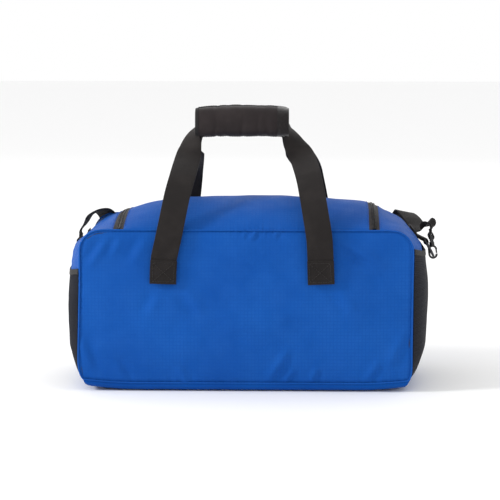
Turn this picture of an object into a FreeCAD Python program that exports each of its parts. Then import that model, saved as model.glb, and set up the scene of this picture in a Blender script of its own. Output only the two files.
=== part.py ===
"""Duffel bag: two big fabric panels joined by a gusset, with a zipped lid in the top, a pocket on each end,
two webbing handles held together by a padded grip, and a clip-on shoulder strap.

Millimetres. +X runs along the bag, +Y from the plain rear panel to the front panel, +Z up. The origin is on the
floor under the middle of the bag. Each sub-part is one STEP file in parts/.
"""

import FreeCAD
import Part

import math
import os

V = FreeCAD.Vector

# ---------------------------------------------------------------- driving dimensions
WALL = 3.0                # fabric, foam and seam allowance together
SEAM_GAP = 0.1            # half the gap between two panels at a seam

END_X = 262.0             # the ends' widest point, on the bag's mid-plane
CORNER_X = 242.0          # where the ends meet the rear and front panels
SEAM_Y = 118.0            # the long top seams
BULGE_Y = 132.0           # the rear and front panels' proudest point
SEAM_Z = 238.0            # height of the long top seams
CREST_Z = 277.0           # height of the lid's crown
BASE_SEAM_Z = 13.0        # the base panel turns up to this height
BOARD_X = 200.0           # the board in the base: half its length, half its width and its thickness
BOARD_Y = 98.0
BOARD_T = 2.6
CUT_Y = 115.2             # rear and front panels lie outside this plane
LID_BACK_Y = -113.6       # the lid's stiff part ends here; the fabric hinge is the last stretch to the seam

ZIP_X = 186.5             # the zip's two side runs
ZIP_Y = 88.0              # the zip's front run
ZIP_CORNER_R = 45.0
ZIP_HALF = 6.2            # half the width of tape that shows
COIL_HALF = 3.0           # half the width of the closed coil
COIL_GAP = 0.3            # half the gap between the two coils

LEFT_POCKET_Z = 176.0     # pocket mouths
RIGHT_POCKET_Z = 200.0
POCKET_GAP = 5.6          # room between a pocket and the end panel
POCKET_T = 1.4
POCKET_Y = 112.0          # half the width of a pocket

WEB = 38.0                # handle webbing
WEB_T = 1.8
HANDLE_X = -6.0           # the handles' middle
FOOT_X = 114.0            # from there to each sewn end
FOOT_BOTTOM_Z = 159.0
FOOT_TOP_Z = 196.2
PIVOT_Y = 132.4           # a handle folds over here, just above its sewn ends
PIVOT_Z = 200.0
GRIP_Z = 383.0            # middle of the grip
GRIP_HALF = 68.5
GRIP_DEPTH = 50.0
GRIP_HEIGHT = 40.0
GRIP_PAD = 4.5            # thickness of the padded wrap
GRIP_SPLIT_Y = 8.0        # the flap begins here
GRIP_SPREAD = 5.2         # each handle's height above or below the grip's middle

STRAP = 32.0              # shoulder strap webbing
STRAP_T = 1.8
D_RING_R = 1.9            # wire radius
D_RING_HALF = 16.0        # half the inner width
D_RING_DROP = 24.0        # from the bar to the far wire
D_RING_Y = {"left": 98.0, "right": 30.0}
D_RING_OFF = 7.2          # how far the bar stands out from the bag's plan outline
D_RING_Z = {"left": 190.0, "right": 205.5}
D_RING_HANG = (0.47, 0, -0.883)

OUT = "parts"


# ---------------------------------------------------------------- small helpers
def save(name, *solids):
    """Writes one sub-part. Several solids go out as one compound."""
    shape = solids[0] if len(solids) == 1 else Part.makeCompound(list(solids))
    shape.exportStep(os.path.join(OUT, name + ".step"))
    print(f"{name:28s} solids {len(shape.Solids)}  {shape.Volume / 1000:8.2f} cm3  valid {shape.isValid()}")


def box(x0, x1, y0, y1, z0, z1):
    return Part.makeBox(x1 - x0, y1 - y0, z1 - z0, V(x0, y0, z0))


def arc(a, b, c):
    return Part.Arc(a, b, c).toShape()


def line(a, b):
    return Part.LineSegment(a, b).toShape()


def prism(edges, along, grow=0.0):
    """Extrudes the closed outline, grown outwards in its own plane."""
    face = Part.Face(Part.Wire(edges))
    if grow:
        face = Part.Face(face.makeOffset2D(grow).OuterWire)
    return face.extrude(along)


def unit(v):
    v = V(v)
    v.normalize()
    return v


def placed(shape, origin, u, v):
    """Moves a shape from its own frame, where +Z is u and +X is near v, to the bag's."""
    u = unit(u)
    v = unit(V(v) - u * V(v).dot(u))
    w = u.cross(v)
    matrix = FreeCAD.Matrix(v.x, w.x, u.x, origin.x, v.y, w.y, u.y, origin.y, v.z, w.z, u.z, origin.z, 0, 0, 0, 1)
    moved = shape.copy()
    moved.transformShape(matrix, True)
    return moved


# ---------------------------------------------------------------- the bag's outer form
def side_view(grow):
    """The outline across the bag, pulled along X."""
    left, right = -320.0, 320.0
    p = {
        "base": V(left, 96, 0), "low": V(left, 121, 26), "seam": V(left, SEAM_Y, SEAM_Z), "crest": V(left, 0, CREST_Z),
    }
    back = {k: V(v.x, -v.y, v.z) for k, v in p.items()}
    edges = [
        line(back["base"], p["base"]),
        arc(p["base"], V(left, 114, 7), p["low"]),
        arc(p["low"], V(left, BULGE_Y, 125), p["seam"]),
        arc(p["seam"], p["crest"], back["seam"]),
        arc(back["seam"], V(left, -BULGE_Y, 125), back["low"]),
        arc(back["low"], V(left, -114, 7), back["base"]),
    ]
    return prism(edges, V(right - left, 0, 0), grow)


def end_view(grow):
    """The outline along the bag, pulled along Y."""
    y = -180.0
    low = [(243, 0), (253, 12), (257, 40), (END_X, 110), (END_X - 0.5, 165)]
    right = [V(x, y, z) for x, z in low + [(257.5, 206), (240, 229), (219, 247), (194, 262)]]
    # the bag is less full at its left shoulder
    left = [V(-x, y, z) for x, z in low + [(256.5, 202), (239, 222), (219, 236), (196, 251)]]
    edges = [line(left[0], right[0])]
    for side in (right, left):
        edges += [arc(*side[0:3]), arc(*side[2:5]), arc(*side[4:7]), arc(*side[6:9])]
    edges.append(arc(right[-1], V(0, y, CREST_Z), left[-1]))
    return prism(Part.__sortEdges__(edges), V(0, 360, 0), grow)


def plan_view(grow):
    """The outline from above, pulled along Z."""
    z = -40.0
    corner = [V(x * CORNER_X, y * SEAM_Y, z) for x, y in ((-1, -1), (1, -1), (1, 1), (-1, 1))]
    edges = [
        arc(corner[0], V(0, -BULGE_Y, z), corner[1]),
        arc(corner[1], V(END_X, 0, z), corner[2]),
        arc(corner[2], V(0, BULGE_Y, z), corner[3]),
        arc(corner[3], V(-END_X, 0, z), corner[0]),
    ]
    return prism(edges, V(0, 0, 380), grow)


_forms = {}


def form(grow):
    """The bag's whole form as a solid block, grown outwards by grow."""
    if grow not in _forms:
        _forms[grow] = side_view(grow).common(end_view(grow)).common(plan_view(grow))
    return _forms[grow]


def layer(outer, inner):
    """The skin of the form between two depths; positive is outside."""
    return form(outer).cut(form(inner))


def top_z(y):
    """Height of the crown at y, on its outside."""
    sag = CREST_Z - SEAM_Z
    radius = (SEAM_Y ** 2 + sag ** 2) / (2 * sag)
    return CREST_Z - radius + math.sqrt(radius ** 2 - y ** 2)


def top_tilt(y):
    """Slope of the crown at y, as an angle about X."""
    sag = CREST_Z - SEAM_Z
    radius = (SEAM_Y ** 2 + sag ** 2) / (2 * sag)
    return -math.asin(y / radius)


# ---------------------------------------------------------------- shell panels
def zip_prism(grow):
    """The lid's U outline, grown outwards, as a tall block."""
    x, y, r = ZIP_X + grow, ZIP_Y + grow, ZIP_CORNER_R + grow
    back, z = -CUT_Y + SEAM_GAP, 150.0
    c = r * (1 - math.sqrt(0.5))
    p = [V(-x, back, z), V(x, back, z), V(x, y - r, z), V(x - r, y, z), V(-x + r, y, z), V(-x, y - r, z)]
    edges = [line(p[0], p[1]), line(p[1], p[2]), arc(p[2], V(x - c, y - c, z), p[3]), line(p[3], p[4]),
             arc(p[4], V(-x + c, y - c, z), p[5]), line(p[5], p[0])]
    return prism(edges, V(0, 0, 200))


def shell_panels():
    wall = layer(0, -WALL)
    big = 400.0
    up = BASE_SEAM_Z + SEAM_GAP
    save("base_panel", wall.common(box(-big, big, -big, big, -10, BASE_SEAM_Z - SEAM_GAP)))
    save("rear_panel", wall.common(box(-big, big, -big, -CUT_Y - SEAM_GAP, up, big)))
    save("front_panel", wall.common(box(-big, big, CUT_Y + SEAM_GAP, big, up, big)))
    inside = CUT_Y - SEAM_GAP
    ends = {"left": (-1, LEFT_POCKET_Z), "right": (1, RIGHT_POCKET_Z)}
    edge = ZIP_X + ZIP_HALF + SEAM_GAP
    for name, (side, mouth) in ends.items():
        x0, x1 = sorted((side * (CORNER_X - 8), side * big))
        save(f"{name}_end_panel", wall.common(box(x0, x1, -inside, inside, up, mouth - 6 - SEAM_GAP)))
        x0, x1 = sorted((side * edge, side * big))
        save(f"{name}_shoulder", wall.common(box(x0, x1, -inside, inside, mouth - 6 + SEAM_GAP, big)))
    middle = box(-edge + 2 * SEAM_GAP, edge - 2 * SEAM_GAP, -inside, inside, 180, big)
    save("front_top_strip", wall.common(middle).cut(zip_prism(ZIP_HALF)))
    save("lid_panel", wall.common(zip_prism(-ZIP_HALF)).common(box(-big, big, LID_BACK_Y, big, 150, big)))


def plan_x(y):
    """How far out the ends stand at y, seen from above."""
    sag = END_X - CORNER_X
    radius = (SEAM_Y ** 2 + sag ** 2) / (2 * sag)
    return END_X - radius + math.sqrt(radius ** 2 - y ** 2)


def lining():
    """A thin loose lining, sewn in at the seams, and the board that keeps the base flat."""
    skin = layer(-WALL - 0.3, -WALL - 1.1)
    mouth = zip_prism(ZIP_HALF)
    save("body_lining", skin.cut(mouth))
    save("lid_lining", skin.common(zip_prism(-ZIP_HALF)).common(box(-400, 400, LID_BACK_Y + 3, 400, 150, 400)))
    board = box(-BOARD_X, BOARD_X, -BOARD_Y, BOARD_Y, WALL + 1.4, WALL + 1.4 + BOARD_T)
    save("base_board", board.makeFillet(12, [e for e in board.Edges if abs(e.BoundBox.ZLength - BOARD_T) < 1e-6])
         .common(form(-WALL - 1.4)))


def seam_bindings():
    """The raised, bound seam round each big panel."""
    band = layer(1.5, 0.1)
    for name, side in (("rear", -1), ("front", 1)):
        y0, y1 = sorted((side * (CUT_Y + 1.4), side * (CUT_Y + 4.6)))
        low = band.common(box(-400, 400, y0, y1, BASE_SEAM_Z + 2, 400))
        save(f"{name}_seam_binding", low)


# ---------------------------------------------------------------- the zip
def zip_parts():
    tape = layer(-0.6, -1.8)
    coil = layer(0.2, -2.2)
    inner, outer = ZIP_HALF - 0.2, COIL_HALF + 0.2
    lid_side = box(-400, 400, LID_BACK_Y, 400, 150, 400)
    save("lid_zip_tape", tape.common(zip_prism(-outer)).cut(zip_prism(-inner)).common(lid_side))
    save("body_zip_tape", tape.common(zip_prism(inner)).cut(zip_prism(outer)))
    save("lid_zip_coil", coil.common(zip_prism(-COIL_GAP)).cut(zip_prism(-COIL_HALF)).common(lid_side))
    save("body_zip_coil", coil.common(zip_prism(COIL_HALF)).cut(zip_prism(COIL_GAP)))


SLIDER_X = 13.0           # each slider's middle when the zip is shut
SLIDER_L = 13.0
SLIDER_W = 9.0
SLIDER_BAR_H = 4.4        # height of the bar that holds the pull
PULL_L = 30.0


def on_zip_front(shape, x):
    """Sets a shape made round the origin, +Z out of the fabric, on the zip's front run."""
    moved = shape.copy()
    moved.rotate(V(0, 0, 0), V(1, 0, 0), math.degrees(top_tilt(ZIP_Y)))
    moved.translate(V(x, ZIP_Y, top_z(ZIP_Y)))
    return moved


def slider_body():
    half_l, half_w = SLIDER_L / 2, SLIDER_W / 2
    upper = box(-half_l, half_l, -half_w, half_w, 0.5, 1.9)
    lower = box(-half_l, half_l, -COIL_HALF, COIL_HALF, -3.8, -2.6)
    posts = [box(-1.4, 1.4, s * 2.7 - 0.7, s * 2.7 + 0.7, 1.8, SLIDER_BAR_H + 1.2) for s in (-1, 1)]
    bar = Part.makeCylinder(0.9, 5.4, V(0, -2.7, SLIDER_BAR_H), V(0, 1, 0))
    return upper.fuse([lower, bar] + posts).removeSplitter()


def slider_pull(side):
    """A flat pull on a small knuckle, lying along the zip away from the other slider."""
    knuckle = Part.makeCylinder(2.0, 3.6, V(0, -1.8, 0), V(0, 1, 0))
    arm = box(1.2, 8, -1.8, 1.8, -0.8, 0.8)
    tab = box(7, PULL_L, -4, 4, -1.0, 1.0)
    tab = tab.makeFillet(2.5, [e for e in tab.Edges if abs(e.BoundBox.ZLength - 2.0) < 1e-6])
    hole = box(21, 26, -1.6, 1.6, -3, 3)
    pull = knuckle.fuse([arm, tab]).cut(hole).removeSplitter()
    pull = pull.cut(Part.makeCylinder(1.2, 8, V(0, -4, 0), V(0, 1, 0)))
    if side < 0:
        pull.rotate(V(0, 0, 0), V(0, 0, 1), 180)
    pull.translate(V(0, 0, SLIDER_BAR_H))
    return pull


def sliders():
    for name, side in (("left", -1), ("right", 1)):
        body = slider_body()
        if side > 0:
            body.rotate(V(0, 0, 0), V(0, 0, 1), 180)
        # the blade stands upright between the two rows of coil and joins the slider's halves
        x0, x1 = sorted((side * (SLIDER_X - SLIDER_L / 2), side * (SLIDER_X - SLIDER_L / 2 + 5)))
        crown = top_z(ZIP_Y)
        blade = box(x0, x1, ZIP_Y - 0.2, ZIP_Y + 0.2, crown - 3.2, crown + 0.9)
        save(f"zip_slider_{name}", on_zip_front(body, side * SLIDER_X).fuse(blade))
        save(f"zip_pull_{name}", on_zip_front(slider_pull(side), side * SLIDER_X))


# ---------------------------------------------------------------- end pockets
def end_pockets():
    outer, inner = POCKET_GAP + POCKET_T, POCKET_GAP
    body = form(0.25)
    for name, side, mouth in (("left", -1, LEFT_POCKET_Z), ("right", 1, RIGHT_POCKET_Z)):
        x0, x1 = sorted((side * 200, side * 400))
        block = form(outer).common(box(x0, x1, -POCKET_Y, POCKET_Y, BASE_SEAM_Z, mouth - 8))
        room = form(inner).common(box(x0, x1, -POCKET_Y + 2, POCKET_Y - 2, BASE_SEAM_Z + 3, 400))
        save(f"{name}_pocket", block.cut(room).cut(body))
        rim = form(outer + 0.6).cut(form(inner - 0.4)).common(
            box(x0, x1, -POCKET_Y, POCKET_Y, mouth - 8 + SEAM_GAP, mouth))
        save(f"{name}_pocket_binding", rim)


# ---------------------------------------------------------------- webbing ribbons
def section(centre, across, normal, width, thick):
    """The four corners of a strap's cross-section."""
    a, n = unit(across) * (width / 2), unit(normal) * (thick / 2)
    return [centre - a - n, centre + a - n, centre + a + n, centre - a + n]


def catmull(points, t):
    """A smooth curve through the points; t runs from 0 to the last point's number."""
    i = min(int(t), len(points) - 2)
    f = t - i
    p0, p1, p2, p3 = (points[max(0, min(len(points) - 1, k))] for k in (i - 1, i, i + 1, i + 2))
    a = p1 * 2
    b = (p2 - p0) * f
    c = (p0 * 2 - p1 * 5 + p2 * 4 - p3) * (f * f)
    d = (p1 * 3 - p0 - p2 * 3 + p3) * (f ** 3)
    return (a + b + c + d) * 0.5


def patch(a, b, c, d):
    """A four-cornered face, twisted as far as its corners ask."""
    surface = Part.BSplineSurface()
    surface.buildFromPolesMultsKnots([[a, b], [d, c]], [2, 2], [2, 2], [0, 1], [0, 1], False, False, 1, 1)
    return surface.toShape()


def ribbon(points, across, width, thick, per_span=2):
    """A flat strap through the points, whose width runs along across at each of them."""
    rings = []
    count = (len(points) - 1) * per_span
    for k in range(count + 1):
        t = k / per_span
        ahead = unit(catmull(points, min(t + 0.05, len(points) - 1)) - catmull(points, max(t - 0.05, 0)))
        side = catmull(across, t)
        side = unit(side - ahead * side.dot(ahead))
        rings.append(section(catmull(points, t), side, ahead.cross(side), width, thick))
    faces = [Part.Face(Part.makePolygon(ring + [ring[0]])) for ring in (rings[0], rings[-1])]
    for one, two in zip(rings, rings[1:]):
        faces += [patch(one[k - 1], one[k], two[k], two[k - 1]) for k in range(4)]
    shell = Part.makeShell(faces)
    shell.sewShape()
    solid = Part.makeSolid(shell)
    if solid.Volume < 0:
        solid.reverse()
    return solid


def handle_half(face):
    """One side of a handle, from its pivot up to the middle of the grip, with its turn from lying flat in the grip.

    face is -1 at the rear and 1 at the front. Inside the grip the rear handle lies flat on the front one.
    """
    level = -GRIP_SPREAD * face
    half = [
        (113.5, PIVOT_Y, PIVOT_Z, 90),
        (109.5, PIVOT_Y - 0.9, 228, 90),
        (105.0, 121, 258, 90),
        (100.0, 98, 288, 90),
        (94.5, 68, 314, 90),
        (89.0 + 0.6 * level, 23, 337, 80),
        (84.5 + 0.9 * level, 10, 355, 52),
        (80.5 + level, 2.4, 370, 18),
        (74.0 + level, 0, 379.5 + 0.7 * level, 0),
        (60.0 + level, 0, GRIP_Z + level, 0),
        (30.0, 0, GRIP_Z + level, 0),
        (0.0, 0, GRIP_Z + level, 0),
    ]
    return [(V(x, y * face, z), turn) for x, y, z, turn in half]


def turned(points, turns):
    """For each point, the way across the strap: along Y, and turned about its own run by the angle given."""
    result = []
    for k, turn in enumerate(turns):
        run = unit(points[min(k + 1, len(points) - 1)] - points[max(k - 1, 0)])
        flat = unit(V(0, 1, 0) - run * run.y)
        result.append(flat * math.cos(math.radians(turn)) + run.cross(flat) * math.sin(math.radians(turn)))
    return result


def handles():
    for name, face in (("rear", -1), ("front", 1)):
        half = handle_half(face)
        points = [V(HANDLE_X - p.x, p.y, p.z) for p, _ in half]
        points += [V(HANDLE_X + p.x, p.y, p.z) for p, _ in half[-2::-1]]
        turns = [turn for _, turn in half]
        turns += turns[-2::-1]
        save(f"{name}_handle", ribbon(points, turned(points, turns), WEB, WEB_T))
        feet = []
        for side in (-1, 1):
            x = HANDLE_X + side * FOOT_X
            y0, y1 = sorted((face * (PIVOT_Y - 2.2), face * (PIVOT_Y - 0.2)))
            feet.append(box(x - WEB / 2, x + WEB / 2, y0, y1, FOOT_BOTTOM_Z, FOOT_TOP_Z))
        save(f"{name}_handle_ends", *feet)


def rounded_block(depth, height, radius, grow):
    """The grip's section as a bar along X."""
    x0, x1 = HANDLE_X - GRIP_HALF, HANDLE_X + GRIP_HALF
    bar = box(x0 - 50, x1 + 50, -depth / 2 - grow, depth / 2 + grow, GRIP_Z - height / 2 - grow,
              GRIP_Z + height / 2 + grow)
    long_edges = [e for e in bar.Edges if e.BoundBox.XLength > 100]
    return bar.makeFillet(radius + grow, long_edges)


def grip():
    x0, x1 = HANDLE_X - GRIP_HALF, HANDLE_X + GRIP_HALF
    tube = rounded_block(GRIP_DEPTH, GRIP_HEIGHT, 15, 0).cut(rounded_block(GRIP_DEPTH, GRIP_HEIGHT, 15, -GRIP_PAD))
    save("grip_wrap", tube.common(box(x0, x1, -60, GRIP_SPLIT_Y - 0.2, 300, 460)))
    save("grip_flap", tube.common(box(x0, x1, GRIP_SPLIT_Y + 0.2, 60, 300, 460)))


# ---------------------------------------------------------------- D-rings, hooks and the shoulder strap
HOOK_IN = 4.0             # half the width inside a hook's bow
HOOK_BAR = 3.0            # thickness of the bow
HOOK_T = 5.5
HOOK_RUN = 7.0            # length of the bow's straight side
HOOK_NECK = 6.5           # height of the swivel's socket
EYE_H = 10.0
EYE_T = 4.4
HOOK_UP = (-0.12, 0.06, 1.0)
STRAP_END_GAP = 5.0       # from the sewn end's top to where the loose strap's own solid begins

STRAP_Y = 152.5           # middle of the strap where it hangs down the front
STRAP_ROUTE = [
    (-255.5, 99.5, 223, (0.05, 1, -0.08)), (-250, 101, 233, (0.05, 0.97, -0.2)),
    (-241, 105, 242, (-0.3, 0.85, -0.3)), (-231, 117, 246, (-0.75, 0.6, -0.25)),
    (-223, 131, 238, (-0.93, 0.35, -0.08)), (-217, 139, 216, (-0.9, 0.42, 0)),
    (-210, 146, 192, (-0.75, 0.65, 0)), (-199, 150.5, 165, (-0.4, 0.9, 0)), (-178, 152.5, 134, (0, 1, 0)),
    (-146, 152.5, 104, (0, 1, 0)), (-100, 152.5, 78, (0, 1, 0)), (-46, 152.5, 64, (0, 1, 0)),
    (12, 152.5, 60, (0, 1, 0)), (70, 152.5, 65, (0, 1, 0)), (124, 152.5, 82, (0, 1, 0)),
    (168, 152.5, 112, (0, 1, 0)), (197, 152.5, 150, (0.2, 1, 0)), (210, 151, 175, (0.6, 0.8, 0)),
    (219, 147, 198, (0.85, 0.5, 0)), (228, 137, 224, (0.93, 0.35, -0.07)),
    (236, 123, 243.5, (0.93, 0.33, -0.2)), (240, 106, 248, (0.85, 0.45, -0.2)),
    (246, 87, 245, (0.72, 0.65, 0)), (253, 68, 239, (0.57, 0.78, 0.2)),
    (260.5, 51, 237, (0.38, 0.9, 0.2)), (269.5, 37.5, 238.5, (0.1, 0.99, 0.06)),
]
ADJUSTER_AT = 15.5        # the adjuster's place along the route, counted in its points
ADJUSTER_L = 24.0


def d_ring():
    """Bar along Y through the origin, the bow hanging to +Z."""
    h, r = D_RING_HALF + D_RING_R, D_RING_R
    drop = D_RING_DROP
    path = Part.Wire([line(V(0, -h, 0), V(0, -h, drop - 12)),
                      arc(V(0, -h, drop - 12), V(0, 0, drop), V(0, h, drop - 12)),
                      line(V(0, h, drop - 12), V(0, h, 0))])
    bow = path.makePipeShell([Part.Wire(Part.makeCircle(r, V(0, -h, 0), V(0, 0, 1)))], True, False, 2)
    bar = Part.makeCylinder(r, 2 * h, V(0, -h, 0), V(0, 1, 0))
    caps = [Part.makeSphere(r, V(0, s * h, 0)) for s in (-1, 1)]
    return bar.fuse([bow] + caps).removeSplitter()


def ring_tab(bar, side):
    """The webbing loop that holds a ring's bar, sewn flat to the shoulder above it."""
    inner, outer, half = D_RING_R + 0.3, D_RING_R + 2.1, 12.5
    x0, x1 = sorted((side * 200, side * 400))
    strip = layer(2.4, 0.3).common(box(x0, x1, bar.y - half, bar.y + half, bar.z + 1, bar.z + 24))
    x0, x1 = sorted((bar.x - side * 14, bar.x - side * 3))
    bridge = box(x0, x1, bar.y - half, bar.y + half, bar.z - 0.5, bar.z + 4).cut(form(0.3))
    knuckle = Part.makeCylinder(outer, 2 * half, V(bar.x, bar.y - half, bar.z), V(0, 1, 0))
    bore = Part.makeCylinder(inner, 4 * half, V(bar.x, bar.y - 2 * half, bar.z), V(0, 1, 0))
    return strip.fuse([bridge, knuckle]).cut(bore).cut(form(0.3))


def hook_parts():
    """A flat snap hook, its gate, and its turning eye. The ring lies at the origin, +Z runs to the strap, +X out."""
    r_in, r_out = HOOK_IN, HOOK_IN + HOOK_BAR
    low = r_in - D_RING_R - 0.3
    high = low + HOOK_RUN

    def slot_shape(r):
        t = HOOK_T / 2
        edges = [arc(V(-r, -t, low), V(0, -t, low - r), V(r, -t, low)), line(V(r, -t, low), V(r, -t, high)),
                 arc(V(r, -t, high), V(0, -t, high + r), V(-r, -t, high)), line(V(-r, -t, high), V(-r, -t, low))]
        return prism(edges, V(0, HOOK_T, 0))

    mouth = box(r_in - 2, r_out + 4, -HOOK_T, HOOK_T, low, high)
    top = high + r_in
    socket = Part.makeCylinder(3.9, HOOK_NECK, V(0, 0, top + 1), V(0, 0, 1))
    bore = Part.makeCylinder(2.15, HOOK_NECK, V(0, 0, top + 4), V(0, 0, 1))
    bow = slot_shape(r_out).cut(slot_shape(r_in)).cut(mouth).fuse(socket).cut(bore).removeSplitter()
    gate = box(r_in + 0.4, r_out - 0.4, -2, 2, low + 1.0, high - 0.3)

    eye_z = top + 1 + HOOK_NECK + 0.4
    pin = Part.makeCylinder(2.05, HOOK_NECK - 3, V(0, 0, top + 4.5), V(0, 0, 1))
    frame = box(-EYE_T / 2, EYE_T / 2, -STRAP / 2 - 4, STRAP / 2 + 4, eye_z, eye_z + EYE_H)
    slot = box(-6, 6, -STRAP / 2 - 0.6, STRAP / 2 + 0.6, eye_z + 2.6, eye_z + EYE_H - 3)
    return bow, gate, frame.cut(slot).fuse(pin).removeSplitter(), eye_z


def strap_fold(eye_z):
    """The strap's end, folded round the eye's far bar and sewn to itself above it, and how high it reaches."""
    bar_low, bar_high = eye_z + EYE_H - 3, eye_z + EYE_H
    x, t, y, run = EYE_T / 2 + 0.3, STRAP_T, -STRAP / 2, bar_high + 9
    neck = bar_high + 3.5
    inner = [V(0.05, y, run), V(0.05, y, neck), V(x, y, bar_high), V(x, y, bar_low - 0.3), V(-x, y, bar_low - 0.3),
             V(-x, y, bar_high), V(-0.05, y, neck), V(-0.05, y, run)]
    outer = [V(-t, y, run), V(-t, y, neck), V(-x - t, y, bar_high), V(-x - t, y, bar_low - 0.3 - t),
             V(x + t, y, bar_low - 0.3 - t), V(x + t, y, bar_high), V(t, y, neck), V(t, y, run)]
    return Part.Face(Part.makePolygon(inner + outer + [inner[0]])).extrude(V(0, STRAP, 0)), run


def end_fittings():
    """D-rings, their tabs, and the hooks and sewn ends of the strap. Returns where the strap leaves those ends."""
    bow, gate, eye, eye_z = hook_parts()
    fold, fold_top = strap_fold(eye_z)
    leaves = {}
    for name, side in (("left", -1), ("right", 1)):
        y = D_RING_Y[name]
        bar = V(side * (plan_x(y) + D_RING_OFF), y, D_RING_Z[name])
        hang, up = (V(v[0] * side, v[1], v[2]) for v in (D_RING_HANG, HOOK_UP))
        out = V(side, 0, 0)
        wire = bar + unit(hang) * D_RING_DROP
        save(f"d_ring_{name}", placed(d_ring(), bar, hang, out))
        save(f"d_ring_tab_{name}", ring_tab(bar, side))
        save(f"hook_{name}", placed(bow, wire, up, out))
        save(f"hook_gate_{name}", placed(gate, wire, up, out))
        save(f"hook_eye_{name}", placed(eye, wire, up, out))
        save(f"strap_end_{name}", placed(fold, wire, up, out))
        leaves[name] = wire + unit(up) * (fold_top + STRAP_END_GAP)
        print(name, "ring bar", bar, "ring wire", wire, "hook turns about", unit(up), "strap leaves", leaves[name])
    return leaves


def shoulder_strap(leaves):
    points = [leaves["left"]] + [V(x, y, z) for x, y, z, _ in STRAP_ROUTE] + [leaves["right"]]
    across = [V(0, 1, 0)] + [V(*a) for *_, a in STRAP_ROUTE] + [V(0, 1, 0)]
    length = sum((catmull(points, (k + 1) / 20) - catmull(points, k / 20)).Length
                 for k in range(20 * (len(points) - 1)))
    print(f"shoulder strap between its sewn ends {length:.0f} mm")
    save("shoulder_strap", ribbon(points, across, STRAP, STRAP_T))

    # the sliding adjuster: side rails, two bars over the strap and one under it
    at, half, rail = catmull(points, ADJUSTER_AT), ADJUSTER_L / 2, STRAP / 2 + 0.8
    ahead = catmull(points, ADJUSTER_AT + 0.05) - catmull(points, ADJUSTER_AT - 0.05)
    rails = [box(-3.4, 3.4, y - 1.6, y + 1.6, -half, half) for y in (-rail - 1.6, rail + 1.6)]
    over = [box(1.9, 3.4, -rail - 1, rail + 1, z - 2, z + 2) for z in (-half + 2, half - 2)]
    under = box(-3.4, -1.9, -rail - 1, rail + 1, -2.5, 2.5)
    save("strap_adjuster", placed(rails[0].fuse([rails[1], under] + over).removeSplitter(), at, ahead,
                                  V(ahead.z, 0, -ahead.x)))


def main():
    os.makedirs(OUT, exist_ok=True)
    shell_panels()
    lining()
    seam_bindings()
    zip_parts()
    sliders()
    end_pockets()
    handles()
    grip()
    shoulder_strap(end_fittings())


main()
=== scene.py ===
import math

import bmesh
import bpy
import numpy as np
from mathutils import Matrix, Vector, noise


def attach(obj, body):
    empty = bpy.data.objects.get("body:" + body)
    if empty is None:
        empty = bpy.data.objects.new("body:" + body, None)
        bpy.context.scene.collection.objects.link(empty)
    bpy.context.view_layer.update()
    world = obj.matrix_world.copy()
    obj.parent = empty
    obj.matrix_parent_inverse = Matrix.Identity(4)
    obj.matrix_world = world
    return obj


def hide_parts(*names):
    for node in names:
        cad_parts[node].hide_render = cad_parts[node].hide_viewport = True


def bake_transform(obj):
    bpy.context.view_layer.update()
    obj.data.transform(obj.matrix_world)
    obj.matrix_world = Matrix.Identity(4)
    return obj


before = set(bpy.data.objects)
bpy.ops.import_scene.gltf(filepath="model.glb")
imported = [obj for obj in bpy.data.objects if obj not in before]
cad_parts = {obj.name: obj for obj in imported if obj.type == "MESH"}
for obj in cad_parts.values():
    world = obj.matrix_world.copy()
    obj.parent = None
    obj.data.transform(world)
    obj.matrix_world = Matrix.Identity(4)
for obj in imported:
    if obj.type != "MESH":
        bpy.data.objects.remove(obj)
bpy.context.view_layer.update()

# Metres. +X runs along the bag, +Y from the plain rear panel to the front one, +Z up.
MM = 0.001
SHELL_T, LINING_T = 1.4 * MM, 0.8 * MM

# ---------------------------------------------------------------- the bag's outer form
SEAM_Y = 118 * MM         # the rear and front panels' edges
SEAM_Z = 238 * MM
CREST_Z = 277 * MM
BASE_Z = 13 * MM
BULGE = 14 * MM           # how far the rear and front panels stand out in their middle
HALF_X = 242 * MM
BULGE_Z = 125 * MM
ZIP_X, ZIP_Y, ZIP_R = 186.5 * MM, 88 * MM, 45 * MM
ZIP_HALF = 6.2 * MM       # from the zip's middle to the edges of the cloth beside it
TAPE_IN, TAPE_OUT = 2.6 * MM, 7.6 * MM   # from the zip's middle to each tape's two edges
TOPSTITCH = 9 * MM        # from the zip's middle to the stitching beside it
ZIP_BACK = -113.6 * MM
MOUTH = {-1: 176 * MM, 1: 200 * MM}      # the height of each end pocket's mouth
UNDER_MOUTH = 20 * MM     # how far below it the shoulder meets the end panel

# Half outlines in millimetres, from the middle of the top out and down to the base seam, for the right side
# (1) and the left (-1). Each station pairs a point of the rear and front panels' edge with the point level
# with it half way across the bag. The two sides differ, and the bag is less full at its left shoulder.
TOP_RIM = [(0, 238), (60, 238), (110, 238), (150, 238), (178, 238), (190, 238), (200, 238), (210, 237.9),
           (222.5, 235.8), (234, 228.6), (241, 217.8), (243, 205)]
RIM = {
    1: TOP_RIM + [(242.5, 165), (242, 110), (242, 60), (242, 36), (241, 21), (238, 13)],
    -1: TOP_RIM + [(243, 165), (244.5, 110), (246, 60), (246, 36), (243.5, 21), (239, 13)],
}
MIDDLE = {
    1: [(0, 277), (60, 276.6), (110, 274.4), (148, 271.5), (178, 267.5), (190, 263.5), (201, 257), (216, 249),
        (229, 242), (242, 228), (253, 214), (260, 201), (261.5, 165), (262, 110), (259.5, 60), (255.5, 36),
        (252, 21), (247.5, 13)],
    -1: [(0, 277), (60, 276.4), (110, 273), (148, 266), (178, 256.5), (190, 252), (201, 246.5), (213, 237.5),
         (225, 229.5), (240, 219.5), (252, 211), (260.5, 202), (265.5, 165), (265.5, 110), (262.5, 60),
         (258, 36), (254, 21), (249.5, 13)],
}
LAST = len(RIM[1]) - 1
CORNER = 11               # the station where the rim's top corner ends


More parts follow.
